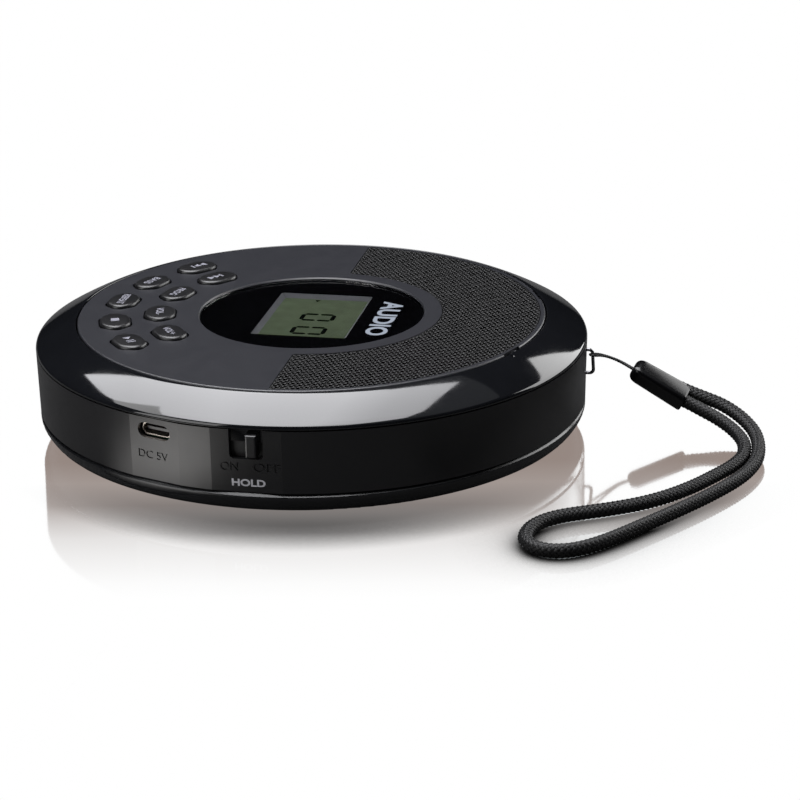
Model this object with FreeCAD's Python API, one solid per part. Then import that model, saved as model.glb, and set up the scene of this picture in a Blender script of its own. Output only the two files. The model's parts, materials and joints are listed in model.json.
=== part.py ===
"""Portable CD player with stereo speakers in its lid and a wrist strap, as separate pieces.

Millimetres, +Z up. The origin is on the table under the player's centre. +Y is the back, where
the strap hangs and the lid is hinged. The user sits at -Y. The charging port and the hold switch
are on the +X side, the headphone jack on the -X side.
"""
import FreeCAD
import Part
import math
import os

V = FreeCAD.Vector
Z_AXIS = V(0, 0, 1)
X_AXIS = V(1, 0, 0)
Y_AXIS = V(0, 1, 0)
ORIGIN = V(0, 0, 0)

# ---- driving dimensions: the casing -------------------------------------------------------
BODY_R = 75.0             # outside radius of the player
WALL = 1.8                # moulded wall thickness
TOP_Z = 32.0              # top of the lid panel
SEAM_Z = 25.6             # joint between gloss ring and side wall
LOWER_SEAM_Z = 8.85       # joint between side wall and bottom cover
SEAM_GAP = 0.3
WALL_DRAFT = 0.3          # the side wall narrows by this much towards its lower edge
INNER_R = BODY_R - WALL   # inside radius of the side wall
FLOOR_Z = 1.0             # underside of the bottom cover
FOOT_R = 4.5
FOOT_CIRCLE_R = 52.0
SCREW_CIRCLE_R = 60.0
CORNER_ANGLES = (45, 135, 225, 315)
DECK_Z = 15.6             # underside of the disc tray
DECK_TOP_Z = DECK_Z + 1.6
WELL_R = 61.6             # the tray's disc well
WELL_TOP_Z = 24.0

# ---- driving dimensions: the lid ----------------------------------------------------------
LID_R = 63.6
LID_GAP = 0.4             # between lid and gloss ring
RING_IN_R = LID_R + LID_GAP
PANEL_T = 1.8
PANEL_Z = TOP_Z - PANEL_T
WINDOW_R = 30.5
WINDOW_SINK = 0.5         # window face below the panel
WINDOW_Z = TOP_Z - WINDOW_SINK
WINDOW_T = 1.4
DISPLAY_BOX = (-18.5, 18.5, -12.8, 13.3)      # x0, x1, y0, y1 of the display opening
LCD_TOP_Z = WINDOW_Z - 2.7
GRILLE_IN_R = 35.5
GRILLE_OUT_R = 62.3
GRILLE_Y = 3.0            # the grille ends along this chord
GRILLE_TOP_Z = TOP_Z - 0.1
GRILLE_T = 0.5
COVER_R = 60.2            # inner cover of the lid
COVER_Z = 23.4
BOARD_TOP_Z = 26.6
HINGE_Y = 59.0
HINGE_Z = 30.9
HINGE_PIN_R = 0.5
HINGE_RELIEF = 0.6        # the lid's rim steps back this far beside the pins

# ---- driving dimensions: the controls -----------------------------------------------------
BUTTON_L = 14.0
BUTTON_W = 8.5
BUTTON_GAP = 0.25
BUTTON_PROUD = 0.9
BUTTON_FLANGE = 0.9
OUTER_ROW_R = 53.4
INNER_ROW_R = 41.3
BUTTONS = {
    "play_pause_button": (OUTER_ROW_R, -51.2),
    "stop_button": (OUTER_ROW_R, -70.6),
    "repeat_button": (OUTER_ROW_R, -90.0),
    "bass_boost_button": (OUTER_ROW_R, -109.4),
    "skip_forward_button": (OUTER_ROW_R, -128.8),
    "volume_up_button": (INNER_ROW_R, -53.5),
    "volume_down_button": (INNER_ROW_R, -77.6),
    "program_button": (INNER_ROW_R, -102.4),
    "skip_back_button": (INNER_ROW_R, -126.5),
}
PORT_ANGLE = -19.3
SIDE_BOARD_Z = 20.35      # top of the side board that carries port and hold switch
PORT_Z = 22.0
PORT_W = 8.94
PORT_H = 3.26
PORT_CUT_W = 9.7
PORT_CUT_H = 4.0
HOLD_SLOT_W = 8.6
HOLD_SLOT_Z = 17.7
HOLD_REST_Y = 1.6
JACK_Z = 12.8
JACK_BORE_R = 1.8
OPEN_BUTTON_Z = 21.0

# ---- driving dimensions: disc drive -------------------------------------------------------
HUB_R = 7.4               # fits a 15 mm disc hole
TABLE_R = 15.0
DISC_Z = 20.3
SHAFT_R = 0.75
PLATE_Z = 12.6            # underside of the mechanism plate
PLATE_T = 1.2
ROD_R = 1.5
ROD_Y = 17.5
ROD_Z = 10.6
SCREW_R = 1.0
SCREW_Y = -21.5
SLED_X0 = 15.0
SLED_X1 = 29.0
LENS_X = 24.0

# ---- driving dimensions: the strap --------------------------------------------------------
BAIL_ANGLE = 94.0
BAIL_WIRE_R = 0.45
BAIL_TOP_Z = 23.2
BAIL_LOW_Z = 16.6
BEAD_END = V(-11.0, 86.9, 16.6)               # middle of the bead's end face, player side
BEAD_DIRECTION = V(0.07, 0.88, -0.47)
BEAD_L = 16.5
BEAD_H = 5.0
BEAD_W = 7.8
BEAD_ROLL = -15.0
THIN_CORD_D = 0.7
STRAP_D = 3.8
THIN_CORD_ROUTE = [
    (-10.3, 91.0, 14.3), (-10.6, 87.2, 16.1), (-11.4, 83.6, 17.9), (-9.3, 80.6, 19.9),
    (-6.4, 78.5, 21.3), (-4.0, 76.9, 21.9), (-5.1, 75.25, 21.9), (-7.9, 77.2, 21.3),
    (-10.2, 79.9, 19.9), (-12.3, 83.4, 17.9), (-11.45, 87.2, 16.1), (-11.1, 91.0, 14.3),
]
STRAP_ROUTE = [
    (-8.7, 98.6, 9.9), (-8.2, 102.6, 8.3), (-6.2, 106.7, 7.0), (-3.9, 110.9, 5.8),
    (0.0, 115.4, 4.3), (6.0, 118.6, 3.1), (13.4, 118.9, 2.3), (20.5, 116.3, 1.95),
    (28.1, 112.0, 1.95), (35.1, 107.9, 1.95), (42.9, 102.1, 1.95), (49.2, 95.6, 1.95),
    (54.4, 87.6, 1.95), (58.0, 80.6, 1.95), (61.2, 75.4, 1.95), (65.6, 71.5, 1.95),
    (71.0, 69.5, 1.95), (76.6, 69.6, 1.95), (81.0, 72.4, 1.95), (82.5, 77.6, 1.95),
    (80.2, 83.4, 1.95), (73.8, 89.6, 1.95), (63.2, 97.1, 1.95), (51.6, 105.2, 1.95),
    (39.7, 112.8, 1.95), (27.8, 119.1, 1.95), (17.6, 122.2, 2.2), (9.0, 122.6, 3.0),
    (0.9, 121.2, 4.2), (-5.8, 117.2, 5.8), (-10.1, 111.8, 7.6), (-11.3, 106.8, 8.9),
    (-11.9, 102.9, 10.0), (-12.3, 99.3, 11.3),
]


# ---- helpers ------------------------------------------------------------------------------
def box(x0, x1, y0, y1, z0, z1):
    """Block between two corners."""
    return Part.makeBox(x1 - x0, y1 - y0, z1 - z0, V(x0, y0, z0))


def disc(radius, z0, z1, x=0.0, y=0.0):
    """Upright cylinder."""
    return Part.makeCylinder(radius, z1 - z0, V(x, y, z0))


def tube(inner_r, outer_r, z0, z1, x=0.0, y=0.0):
    """Upright tube."""
    return disc(outer_r, z0, z1, x, y).cut(disc(inner_r, z0 - 1, z1 + 1, x, y))


def bar(radius, start, length, direction):
    """Cylinder from a point along a direction."""
    return Part.makeCylinder(radius, length, start, direction)


def polar(radius, degrees, z=0.0):
    """Point at a radius and an angle about Z."""
    angle = math.radians(degrees)
    return V(radius * math.cos(angle), radius * math.sin(angle), z)


def turned_to(shape, degrees):
    """Copy of a shape made at angle 0, turned about Z."""
    copy = shape.copy()
    copy.rotate(ORIGIN, Z_AXIS, degrees)
    return copy


def fused(shapes):
    """One solid from touching solids."""
    first = shapes[0]
    return first.fuse(shapes[1:]).removeSplitter()


def rounded_path(points, radii, closed):
    """Wire of straight runs joined by tangent arcs, one radius for each point."""
    count = len(points)
    edges = []
    entry = [None] * count
    leave = [None] * count
    middle = [None] * count
    for i in range(count):
        point = points[i]
        radius = radii[i]
        is_end = not closed and i in (0, count - 1)
        if is_end or radius <= 0:
            entry[i] = point
            leave[i] = point
            continue
        back = (points[i - 1] - point).normalize()
        ahead = (points[(i + 1) % count] - point).normalize()
        half_turn = (math.pi - back.getAngle(ahead)) / 2
        inward = (back + ahead).normalize()
        entry[i] = point + back * (radius * math.tan(half_turn))
        leave[i] = point + ahead * (radius * math.tan(half_turn))
        middle[i] = point + inward * (radius / math.cos(half_turn) - radius)
    for i in range(count):
        if middle[i] is not None:
            edges.append(Part.Arc(entry[i], middle[i], leave[i]).toShape())
        last = not closed and i == count - 1
        following = entry[(i + 1) % count]
        if not last and (following - leave[i]).Length > 1e-6:
            edges.append(Part.LineSegment(leave[i], following).toShape())
    return Part.Wire(edges)


def plate(points, radii, z0, z1):
    """Flat plate of constant thickness from a rounded outline in X and Y."""
    corners = [V(x, y, z0) for x, y in points]
    if isinstance(radii, (int, float)):
        radii = [radii] * len(corners)
    face = Part.Face(rounded_path(corners, radii, True))
    return face.extrude(V(0, 0, z1 - z0))


def rectangle(x0, x1, y0, y1):
    """Corner points of a rectangle."""
    return [(x0, y0), (x1, y0), (x1, y1), (x0, y1)]


def turned(points, radii=None):
    """Solid of revolution about Z from a rounded outline in radius and Z."""
    corners = [V(r, 0, z) for r, z in points]
    face = Part.Face(rounded_path(corners, radii or [0.0] * len(corners), True))
    return face.revolve(ORIGIN, Z_AXIS, 360)


def sector(inner_r, outer_r, start, end, z0, z1):
    """Part of a flat ring between two angles."""
    middle = (start + end) / 2
    edges = [
        Part.Arc(polar(outer_r, start, z0), polar(outer_r, middle, z0), polar(outer_r, end, z0)),
        Part.LineSegment(polar(outer_r, end, z0), polar(inner_r, end, z0)),
        Part.Arc(polar(inner_r, end, z0), polar(inner_r, middle, z0), polar(inner_r, start, z0)),
        Part.LineSegment(polar(inner_r, start, z0), polar(outer_r, start, z0)),
    ]
    return Part.Face(Part.Wire([edge.toShape() for edge in edges])).extrude(V(0, 0, z1 - z0))


def side_cut(width, height, depth_r, radius, z):
    """Cutter with rounded corners that goes out through the side wall at angle 0."""
    outline = rectangle(-width / 2, width / 2, z - height / 2, z + height / 2)
    corners = [V(depth_r, y, height_z) for y, height_z in outline]
    face = Part.Face(rounded_path(corners, [radius] * 4, True))
    return face.extrude(V(BODY_R + 5 - depth_r, 0, 0))


def cord_radii(points):
    """Arc radius at each point: 0.45 of the shorter run over the tangent of half the turn."""
    radii = [0.0]
    for i in range(1, len(points) - 1):
        back = points[i - 1] - points[i]
        ahead = points[i + 1] - points[i]
        half_turn = (math.pi - back.getAngle(ahead)) / 2
        radii.append(0.45 * min(back.Length, ahead.Length) / math.tan(half_turn))
    radii.append(0.0)
    return radii


def cord(name, route, diameter):
    """Round cord along straight runs joined by tangent arcs."""
    points = [V(*point) for point in route]
    radii = cord_radii(points)
    path = rounded_path(points, radii, False)
    circle = Part.Circle(points[0], points[1] - points[0], diameter / 2)
    solid = path.makePipeShell([Part.Wire(circle.toShape())], True, False)
    expected = math.pi * diameter ** 2 / 4 * path.Length
    print(name, "length", round(path.Length, 1), "volume ratio", round(solid.Volume / expected, 4))
    print("  radii", [round(radius, 1) for radius in radii[1:-1]])
    return solid


def button_outline(length, width):
    """Long hexagon of a button, along X."""
    x_tip = length / 2
    x_shoulder = length / 2 - 0.24 * length
    y_side = width / 2
    return [
        (-x_tip, 0), (-x_shoulder, -y_side), (x_shoulder, -y_side),
        (x_tip, 0), (x_shoulder, y_side), (-x_shoulder, y_side),
    ]


def button_block(grow, z0, z1):
    """Button-shaped block, larger all round by a given amount."""
    length = BUTTON_L + 2 * grow
    width = BUTTON_W + 2 * grow
    return plate(button_outline(length, width), [2.6, 3.2, 3.2, 2.6, 3.2, 3.2], z0, z1)


def at_button(shape, radius, angle):
    """Move a button shape to its place, its length along the circle."""
    copy = shape.copy()
    copy.translate(V(0, -radius, 0))
    return turned_to(copy, angle + 90)


# ---- casing -------------------------------------------------------------------------------
def make_bottom_cover():
    lip_r = INNER_R - 0.1
    profile = [
        (0, FLOOR_Z), (60.0, FLOOR_Z), (72.6, 3.4), (BODY_R - WALL_DRAFT, 6.6),
        (BODY_R - WALL_DRAFT, 7.85), (BODY_R - 1.3, LOWER_SEAM_Z), (lip_r, LOWER_SEAM_Z),
        (lip_r, 9.8), (lip_r - 1.4, 9.8), (lip_r - 1.4, 7.2), (70.6, 5.0),
        (60.0, FLOOR_Z + WALL), (0, FLOOR_Z + WALL),
    ]
    radii = [0, 24.0, 4.0, 3.0, 0.25, 0, 0, 0, 0, 2.0, 3.0, 20.0, 0]
    shell = turned(profile, radii)
    floor_top = FLOOR_Z + WALL - 0.3
    pieces = [shell]
    for angle in CORNER_ANGLES:
        spot = polar(SCREW_CIRCLE_R, angle)
        pieces.append(disc(4.2, floor_top, 9.0, spot.x, spot.y))
    for x, y in ((35, 30), (35, -30), (-18, 11), (-18, -11)):
        pieces.append(disc(2.6, floor_top, 9.6, x, y))
    for y in (30, -30):
        pieces.append(disc(2.4, floor_top, 9.2, -42, y))
    cover = fused(pieces)
    for angle in CORNER_ANGLES:
        spot = polar(SCREW_CIRCLE_R, angle)
        cover = cover.cut(disc(2.9, 0, 3.4, spot.x, spot.y))
        cover = cover.cut(disc(1.25, 0, 10, spot.x, spot.y))
    return cover


def make_side_wall():
    low_r = BODY_R - WALL_DRAFT
    top = SEAM_Z - SEAM_GAP / 2
    bottom = LOWER_SEAM_Z + 0.05
    wall = turned([(INNER_R, bottom), (low_r, bottom), (BODY_R, top), (INNER_R, top)])
    draft = math.degrees(math.atan(WALL_DRAFT / (top - bottom)))
    for middle, half_width in ((PORT_ANGLE, 5.6), (0.0, 6.95)):
        flat_x = BODY_R * math.cos(math.radians(half_width))
        outside = box(flat_x, BODY_R + 6, -14, 14, bottom - 2, top + 4)
        outside.rotate(V(flat_x, 0, top), Y_AXIS, draft)
        wall = wall.cut(turned_to(outside, middle))
    port = side_cut(PORT_CUT_W, PORT_CUT_H, 60, PORT_CUT_H / 2 - 0.01, PORT_Z)
    wall = wall.cut(turned_to(port, PORT_ANGLE))
    slot_h = 2 * (SEAM_Z + 2 - HOLD_SLOT_Z)
    slot = side_cut(HOLD_SLOT_W, slot_h, 60, 1.2, HOLD_SLOT_Z + slot_h / 2)
    wall = wall.cut(slot)
    opener = side_cut(14.2, 4.6, 60, 1.6, OPEN_BUTTON_Z)
    wall = wall.cut(turned_to(opener, -90))
    wall = wall.cut(bar(2.8, V(-60, 0, JACK_Z), 20, V(-1, 0, 0)))
    for z in (BAIL_LOW_Z, BAIL_TOP_Z):
        hole = bar(BAIL_WIRE_R + 0.05, V(60, 0, z), 20, X_AXIS)
        wall = wall.cut(turned_to(hole, BAIL_ANGLE))
    return wall


def make_top_ring():
    bottom = SEAM_Z + SEAM_GAP / 2
    slope = math.tan(math.radians(26))
    edge_z = TOP_Z - slope * (BODY_R - RING_IN_R)
    lip_r = INNER_R - 0.1
    profile = [
        (RING_IN_R, WELL_TOP_Z), (65.8, WELL_TOP_Z), (65.8, 29.0), (lip_r - 1.2, bottom - 0.2),
        (lip_r - 1.2, 23.8), (lip_r, 23.8), (lip_r, bottom), (BODY_R, bottom),
        (BODY_R, edge_z), (RING_IN_R, TOP_Z),
    ]
    radii = [0, 0, 1.0, 0, 0, 0, 0, 0.2, 1.25, 0.3]
    ring = turned(profile, radii)
    ring = ring.cut(box(66, lip_r + 0.05, -9.5, 9.5, 22, bottom))
    for side in (-1, 1):
        start = V(side * 23.8, HINGE_Y, HINGE_Z)
        ring = ring.cut(bar(HINGE_PIN_R + 0.05, start, 3.3, V(side, 0, 0)))
    return ring


def make_disc_tray():
    profile = [
        (16.5, DECK_Z), (INNER_R - 0.3, DECK_Z), (INNER_R - 0.3, DECK_TOP_Z),
        (63.2, DECK_TOP_Z), (63.2, 22.8), (66.0, 22.8), (66.0, WELL_TOP_Z),
        (WELL_R, WELL_TOP_Z), (WELL_R, DECK_TOP_Z), (16.5, DECK_TOP_Z),
    ]
    pieces = [turned(profile)]
    for angle in CORNER_ANGLES:
        spot = polar(SCREW_CIRCLE_R, angle)
        pieces.append(disc(3.4, 9.0, DECK_Z + 0.2, spot.x, spot.y))
    for angle in (-28, 12):
        spot = polar(68.0, angle)
        pieces.append(disc(1.8, DECK_TOP_Z - 0.2, SIDE_BOARD_Z - 1.2, spot.x, spot.y))
    tray = fused(pieces)
    for angle in CORNER_ANGLES:
        spot = polar(SCREW_CIRCLE_R, angle)
        tray = tray.cut(disc(1.2, 8, 13.4, spot.x, spot.y))
    tray = tray.cut(plate(rectangle(18.0, 61.0, -9.0, 9.0), 2.0, DECK_Z - 1, DECK_TOP_Z + 1))
    return tray.cut(box(-4.2, 4.2, -67.0, -60.0, 20.9, WELL_TOP_Z + 1))


def make_feet():
    profile = [(0, 0), (FOOT_R, 0), (FOOT_R, FLOOR_Z), (0, FLOOR_Z)]
    foot = turned(profile, [0, 0.4, 0, 0])
    feet = []
    for angle in CORNER_ANGLES:
        copy = foot.copy()
        copy.translate(polar(FOOT_CIRCLE_R, angle))
        feet.append(copy)
    return Part.makeCompound(feet)


def machine_screw(head_r, head_z, head_t, shank_r, tip_z):
    """Cross-recess screw standing on its head at the origin's axis."""
    head = disc(head_r, head_z, head_z + head_t)
    recess = box(-head_r * 0.6, head_r * 0.6, -0.25, 0.25, head_z - 0.1, head_z + head_t * 0.55)
    screw = fused([head, disc(shank_r, head_z + head_t, tip_z)])
    return screw.cut(recess).cut(turned_to(recess, 90))


def make_case_screws():
    screws = []
    for angle in CORNER_ANGLES:
        copy = machine_screw(2.6, 1.7, 1.7, 1.2, 13.0)
        copy.translate(polar(SCREW_CIRCLE_R, angle))
        screws.append(copy)
    return Part.makeCompound(screws)


# ---- electronics in the base --------------------------------------------------------------
def make_main_board():
    outline = plate(rectangle(-68, -24, -35, 35), 2.0, 9.2, 10.4)
    return outline.common(disc(68.0, 9.0, 11.0))


def make_board_parts():
    top = 10.4
    chips = [
        box(-44, -32, -6, 6, top, top + 1.3), box(-44, -36, 12, 17, top, top + 1.2),
        box(-34, -28, 14, 20, top, top + 1.2), box(-50, -40, -22, -14, top, top + 2.0),
    ]
    for x, y in ((-30, -16), (-30, -24), (-36, -30)):
        chips.append(disc(2.2, top, top + 4.6, x, y))
    return Part.makeCompound(chips)


def make_battery():
    return plate(rectangle(-58, -25, -20, 20), 3.0, 3.3, 8.4)


def make_headphone_jack():
    body = box(-72.6, -60.5, -3.4, 3.4, 10.4, 15.3)
    nose = bar(2.7, V(-72.6, 0, JACK_Z), 2.6, V(-1, 0, 0))
    bore = bar(JACK_BORE_R, V(-62.2, 0, JACK_Z), 12, V(-1, 0, 0))
    lead_in = Part.makeCone(JACK_BORE_R, JACK_BORE_R + 0.4, 2.4, V(-72.9, 0, JACK_Z), V(-1, 0, 0))
    return fused([body, nose]).cut(bore).cut(lead_in)


def make_side_board():
    return sector(63.7, 71.3, -31, 15, SIDE_BOARD_Z - 1.2, SIDE_BOARD_Z)


def stadium_bar(width, height, x0, x1):
    """Bar along X with round sides, centred on the charging port's height."""
    outline = rectangle(-width / 2, width / 2, PORT_Z - height / 2, PORT_Z + height / 2)
    corners = [V(x0, y, z) for y, z in outline]
    face = Part.Face(rounded_path(corners, [height / 2 - 0.01] * 4, True))
    return face.extrude(V(x1 - x0, 0, 0))


def make_port_shell():
    shell = stadium_bar(PORT_W, PORT_H, 66.8, 73.1)
    inside = stadium_bar(PORT_W - 0.6, PORT_H - 0.6, 66.0, 74.0)
    return turned_to(shell.cut(inside), PORT_ANGLE)


def make_port_tongue():
    plug = stadium_bar(PORT_W - 0.6, PORT_H - 0.6, 66.9, 68.4)
    tongue = box(68.3, 72.4, -3.35, 3.35, PORT_Z - 0.35, PORT_Z + 0.35)
    return turned_to(fused([plug, tongue]), PORT_ANGLE)


def make_hold_switch():
    body = box(66.6, 71.1, -5.6, 5.6, SIDE_BOARD_Z, 24.2)
    return body.cut(box(69.2, 72.0, -3.7, 3.7, 21.1, 23.1))


def make_hold_knob():
    low = HOLD_SLOT_Z + 0.9
    high = SEAM_Z - SEAM_GAP / 2 - 0.9
    middle = HOLD_REST_Y
    shutter = box(71.6, 72.4, middle - 6.6, middle + 6.6, 17.4, 25.0)
    stem = box(69.6, 71.8, middle - 1.1, middle + 1.1, 21.4, 22.8)
    grip = box(72.2, 76.1, middle - 1.35, middle + 1.35, low, high)
    front = [edge for edge in grip.Edges if edge.BoundBox.XMin > 76.0]
    grip = grip.makeFillet(0.45, front)
    return fused([shutter, stem, grip])


# ---- disc drive ---------------------------------------------------------------------------
def make_mechanism_plate():
    top = PLATE_Z + PLATE_T
    low = 8.6
    pieces = [
        plate(rectangle(-22, 14, -15.2, 15.2), 2.0, PLATE_Z, top),
        plate(rectangle(13, 66, -26, 26), 2.0, PLATE_Z, top),
        plate(rectangle(29, 41, -34, 34), 2.5, PLATE_Z, top),
    ]
    for x in (13.0, 63.4):
        pieces.append(box(x, x + 1.4, -24.2, -15.4, low, PLATE_Z + 0.1))
        pieces.append(box(x, x + 1.4, 15.4, 19.6, low, PLATE_Z + 0.1))
    frame = fused(pieces)
    frame = frame.cut(plate(rectangle(14.4, 63.2, -14.8, 14.8), 2.0, 12, 15))
    frame = frame.cut(disc(4.6, 12, 15))
    for y in (-ROD_Y, ROD_Y):
        frame = frame.cut(bar(ROD_R, V(10, y, ROD_Z), 56, X_AXIS))
    return frame.cut(bar(SCREW_R + 0.05, V(10, SCREW_Y, ROD_Z), 56, X_AXIS))


def make_dampers():
    profile = [
        (0, 9.6), (3.2, 9.6), (3.2, 10.6), (2.3, 11.1), (3.2, 11.6), (3.2, PLATE_Z), (0, PLATE_Z),
    ]
    damper = turned(profile, [0, 0.3, 0.3, 0.3, 0.3, 0.3, 0])
    dampers = []
    for x, y in ((35, 30), (35, -30), (-18, 11), (-18, -11)):
        copy = damper.copy()
        copy.translate(V(x, y, 0))
        dampers.append(copy)
    return Part.makeCompound(dampers)


def make_spindle_motor():
    profile = [
        (0, 5.4), (10.5, 5.4), (10.5, PLATE_Z), (4.5, PLATE_Z), (4.5, 13.4),
        (SHAFT_R + 0.05, 13.4), (SHAFT_R + 0.05, 7.0), (0, 7.0),
    ]
    return turned(profile, [0, 1.0, 0.5, 0, 0.3, 0, 0, 0])


def make_sled_motor():
    body = bar(4.7, V(-7, SCREW_Y, ROD_Z), 20, X_AXIS)
    return body.cut(bar(SCREW_R + 0.05, V(4, SCREW_Y, ROD_Z), 10, X_AXIS))


def make_guide_rods():
    return Part.makeCompound([bar(ROD_R, V(13.0, y, ROD_Z), 51.8, X_AXIS) for y in (-ROD_Y, ROD_Y)])


def make_lead_screw():
    screw = bar(SCREW_R, V(5.0, SCREW_Y, ROD_Z), 60.5, X_AXIS)
    flat = box(5.0, 9.0, SCREW_Y + 0.6, SCREW_Y + 2, ROD_Z - 2, ROD_Z + 2)
    return screw.cut(flat)


def make_sled():
    low = 8.4
    high = PLATE_Z - 0.3
    tower_x0 = LENS_X - 3.5
    tower_x1 = LENS_X + 3.3
    pieces = [
        box(SLED_X0, SLED_X1, -14.4, 14.4, low, high),
        box(SLED_X0, SLED_X1, -24.0, -14.3, low, high),
        box(SLED_X0, SLED_X1, 14.3, 20.0, low, high),
        box(SLED_X0 + 2, SLED_X1 - 1, -8.0, 8.0, high - 0.1, 14.6),
        box(tower_x0, tower_x1, -6.5, 6.5, 14.5, 17.4),
    ]
    sled = fused(pieces)
    for y in (-ROD_Y, ROD_Y):
        sled = sled.cut(bar(ROD_R + 0.05, V(0, y, ROD_Z), 60, X_AXIS))
    return sled.cut(bar(SCREW_R + 0.05, V(0, SCREW_Y, ROD_Z), 60, X_AXIS))


def make_lens():
    profile = [(0, 17.4), (3.0, 17.4), (3.0, 18.0), (2.5, 18.0), (0.9, 18.6), (0, 18.6)]
    lens = turned(profile, [0, 0, 0.2, 0, 0.8, 0])
    lens.translate(V(LENS_X, 0, 0))
    return lens


def make_turntable():
    profile = [
        (0, 14.2), (4.0, 14.2), (4.0, 18.5), (TABLE_R, 18.5), (TABLE_R, 19.9),
        (HUB_R, 19.9), (HUB_R, 22.8), (3.2, 22.8), (3.2, 22.2), (0, 22.2),
    ]
    table = turned(profile, [0, 0, 0, 0.4, 0.3, 0, 0.7, 0, 0, 0])
    slot = box(HUB_R - 1.4, HUB_R + 1, -1.3, 1.3, DISC_Z + 1.0, 22.1)
    for angle in (30, 150, 270):
        table = table.cut(turned_to(slot, angle))
    return table.cut(disc(SHAFT_R, 13, 21.0))


def make_spindle_shaft():
    return disc(SHAFT_R, 7.4, 21.0)


def make_disc_clips():
    clip = box(HUB_R - 1.3, HUB_R - 0.15, -1.1, 1.1, DISC_Z + 1.1, 22.0)
    return Part.makeCompound([turned_to(clip, angle) for angle in (30, 150, 270)])


def make_table_pad():
    return tube(10.5, TABLE_R - 0.5, 19.9, DISC_Z)


# ---- the lid ------------------------------------------------------------------------------
def grille_area(grow, z0, z1):
    """Half ring of the speaker grille, larger all round by a given amount."""
    inner_r = GRILLE_IN_R - grow
    outer_r = GRILLE_OUT_R + grow
    chord = GRILLE_Y - grow
    ring = tube(inner_r, outer_r, z0, z1)
    half = box(-BODY_R, BODY_R, chord, BODY_R, z0 - 1, z1 + 1)
    area = ring.common(half)
    upright = []
    for edge in area.Edges:
        bounds = edge.BoundBox
        if bounds.ZLength > 0.9 * (z1 - z0) and bounds.YMax < chord + 0.1:
            upright.append(edge)
    return area.makeFillet(1.0, upright)


def make_top_panel():
    hole_r = WINDOW_R + 0.1
    profile = [
        (hole_r, PANEL_Z), (61.8, PANEL_Z), (61.8, 26.2), (LID_R, 26.2),
        (LID_R, TOP_Z), (hole_r + 0.35, TOP_Z), (hole_r, TOP_Z - 0.35),
    ]
    panel = turned(profile, [0, 0, 0.4, 0.4, 0.5, 0.1, 0.1])
    panel = panel.cut(grille_area(0.0, PANEL_Z - 1, TOP_Z + 1))
    opening = button_block(BUTTON_GAP, PANEL_Z - 1, TOP_Z + 1)
    for radius, angle in BUTTONS.values():
        panel = panel.cut(at_button(opening, radius, angle))
    pieces = [panel]
    for x, y in lid_screw_spots():
        pieces.append(disc(1.9, COVER_Z + 1.2, PANEL_Z + 0.2, x, y))
    for side in (-1, 1):
        x0 = 19.9 if side > 0 else -22.4
        pieces.append(box(x0, x0 + 2.5, 58.0, 60.0, 29.2, 31.0).common(disc(63.1, 25, 32)))
    pieces.append(box(-3.0, 3.0, -63.3, -62.3, 22.5, 26.5))
    panel = fused(pieces)
    for x, y in lid_screw_spots():
        panel = panel.cut(disc(0.9, COVER_Z, 28.6, x, y))
    for side in (-1, 1):
        middle = 90 - side * 22.3
        relief = sector(LID_R - HINGE_RELIEF, LID_R + 1, middle - 3.5, middle + 3.5, 25, TOP_Z + 1)
        panel = panel.cut(relief)
        start = V(side * 19.9, HINGE_Y, HINGE_Z)
        panel = panel.cut(bar(HINGE_PIN_R, start, 5.0, V(side, 0, 0)))
    return panel


def make_hinge_pins():
    pins = []
    for side in (-1, 1):
        pins.append(bar(HINGE_PIN_R, V(side * 19.9, HINGE_Y, HINGE_Z), 6.9, V(side, 0, 0)))
    return Part.makeCompound(pins)


def lid_screw_spots():
    """Places of the four screws that hold the lid's inner cover."""
    front = polar(54.0, -15)
    back = polar(33.7, 60)
    return [(front.x, front.y), (-front.x, front.y), (back.x, back.y), (-back.x, back.y)]


def speaker_spots():
    """Centres of the two speakers."""
    spot = polar(47.5, 45)
    return [(spot.x, spot.y), (-spot.x, spot.y)]


def make_inner_cover():
    profile = [
        (0, COVER_Z + 0.6), (10.5, COVER_Z + 0.6), (12.0, COVER_Z), (COVER_R, COVER_Z),
        (COVER_R, PANEL_Z), (59.0, PANEL_Z), (59.0, COVER_Z + 1.2), (0, COVER_Z + 1.2),
    ]
    cover = turned(profile, [0, 0.5, 0.5, 0.8, 0, 0, 0.5, 0])
    pieces = [cover]
    for x, y in speaker_spots():
        pieces.append(tube(10.7, 11.5, COVER_Z + 1.1, 27.0, x, y).common(disc(58.9, 20, 30)))
    cover = fused(pieces)
    for x, y in lid_screw_spots():
        cover = cover.cut(disc(2.1, COVER_Z - 1, COVER_Z + 0.7, x, y))
        cover = cover.cut(disc(1.0, COVER_Z - 1, COVER_Z + 3, x, y))
    return cover


def make_lid_screws():
    screws = []
    for x, y in lid_screw_spots():
        copy = machine_screw(1.9, COVER_Z + 0.05, 0.65, 0.9, 28.4)
        copy.translate(V(x, y, 0))
        screws.append(copy)
    return Part.makeCompound(screws)


def make_grille():
    return grille_area(-0.1, GRILLE_TOP_Z - GRILLE_T, GRILLE_TOP_Z)


def placed(shape, spots):
    """Copies of one shape at each spot."""
    copies = []
    for x, y in spots:
        copy = shape.copy()
        copy.translate(V(x, y, 0))
        copies.append(copy)
    return Part.makeCompound(copies)


def make_speaker_frames():
    profile = [
        (6.1, 26.4), (10.5, 26.4), (10.5, 29.8), (8.8, 29.8), (8.8, 27.2), (6.1, 27.2),
    ]
    return placed(turned(profile, [0, 0.4, 0.3, 0, 0, 0]), speaker_spots())


def make_speaker_magnets():
    profile = [(0, COVER_Z + 1.2), (6.0, COVER_Z + 1.2), (6.0, 27.0), (0, 27.0)]
    return placed(turned(profile, [0, 0.4, 0.4, 0]), speaker_spots())


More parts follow.
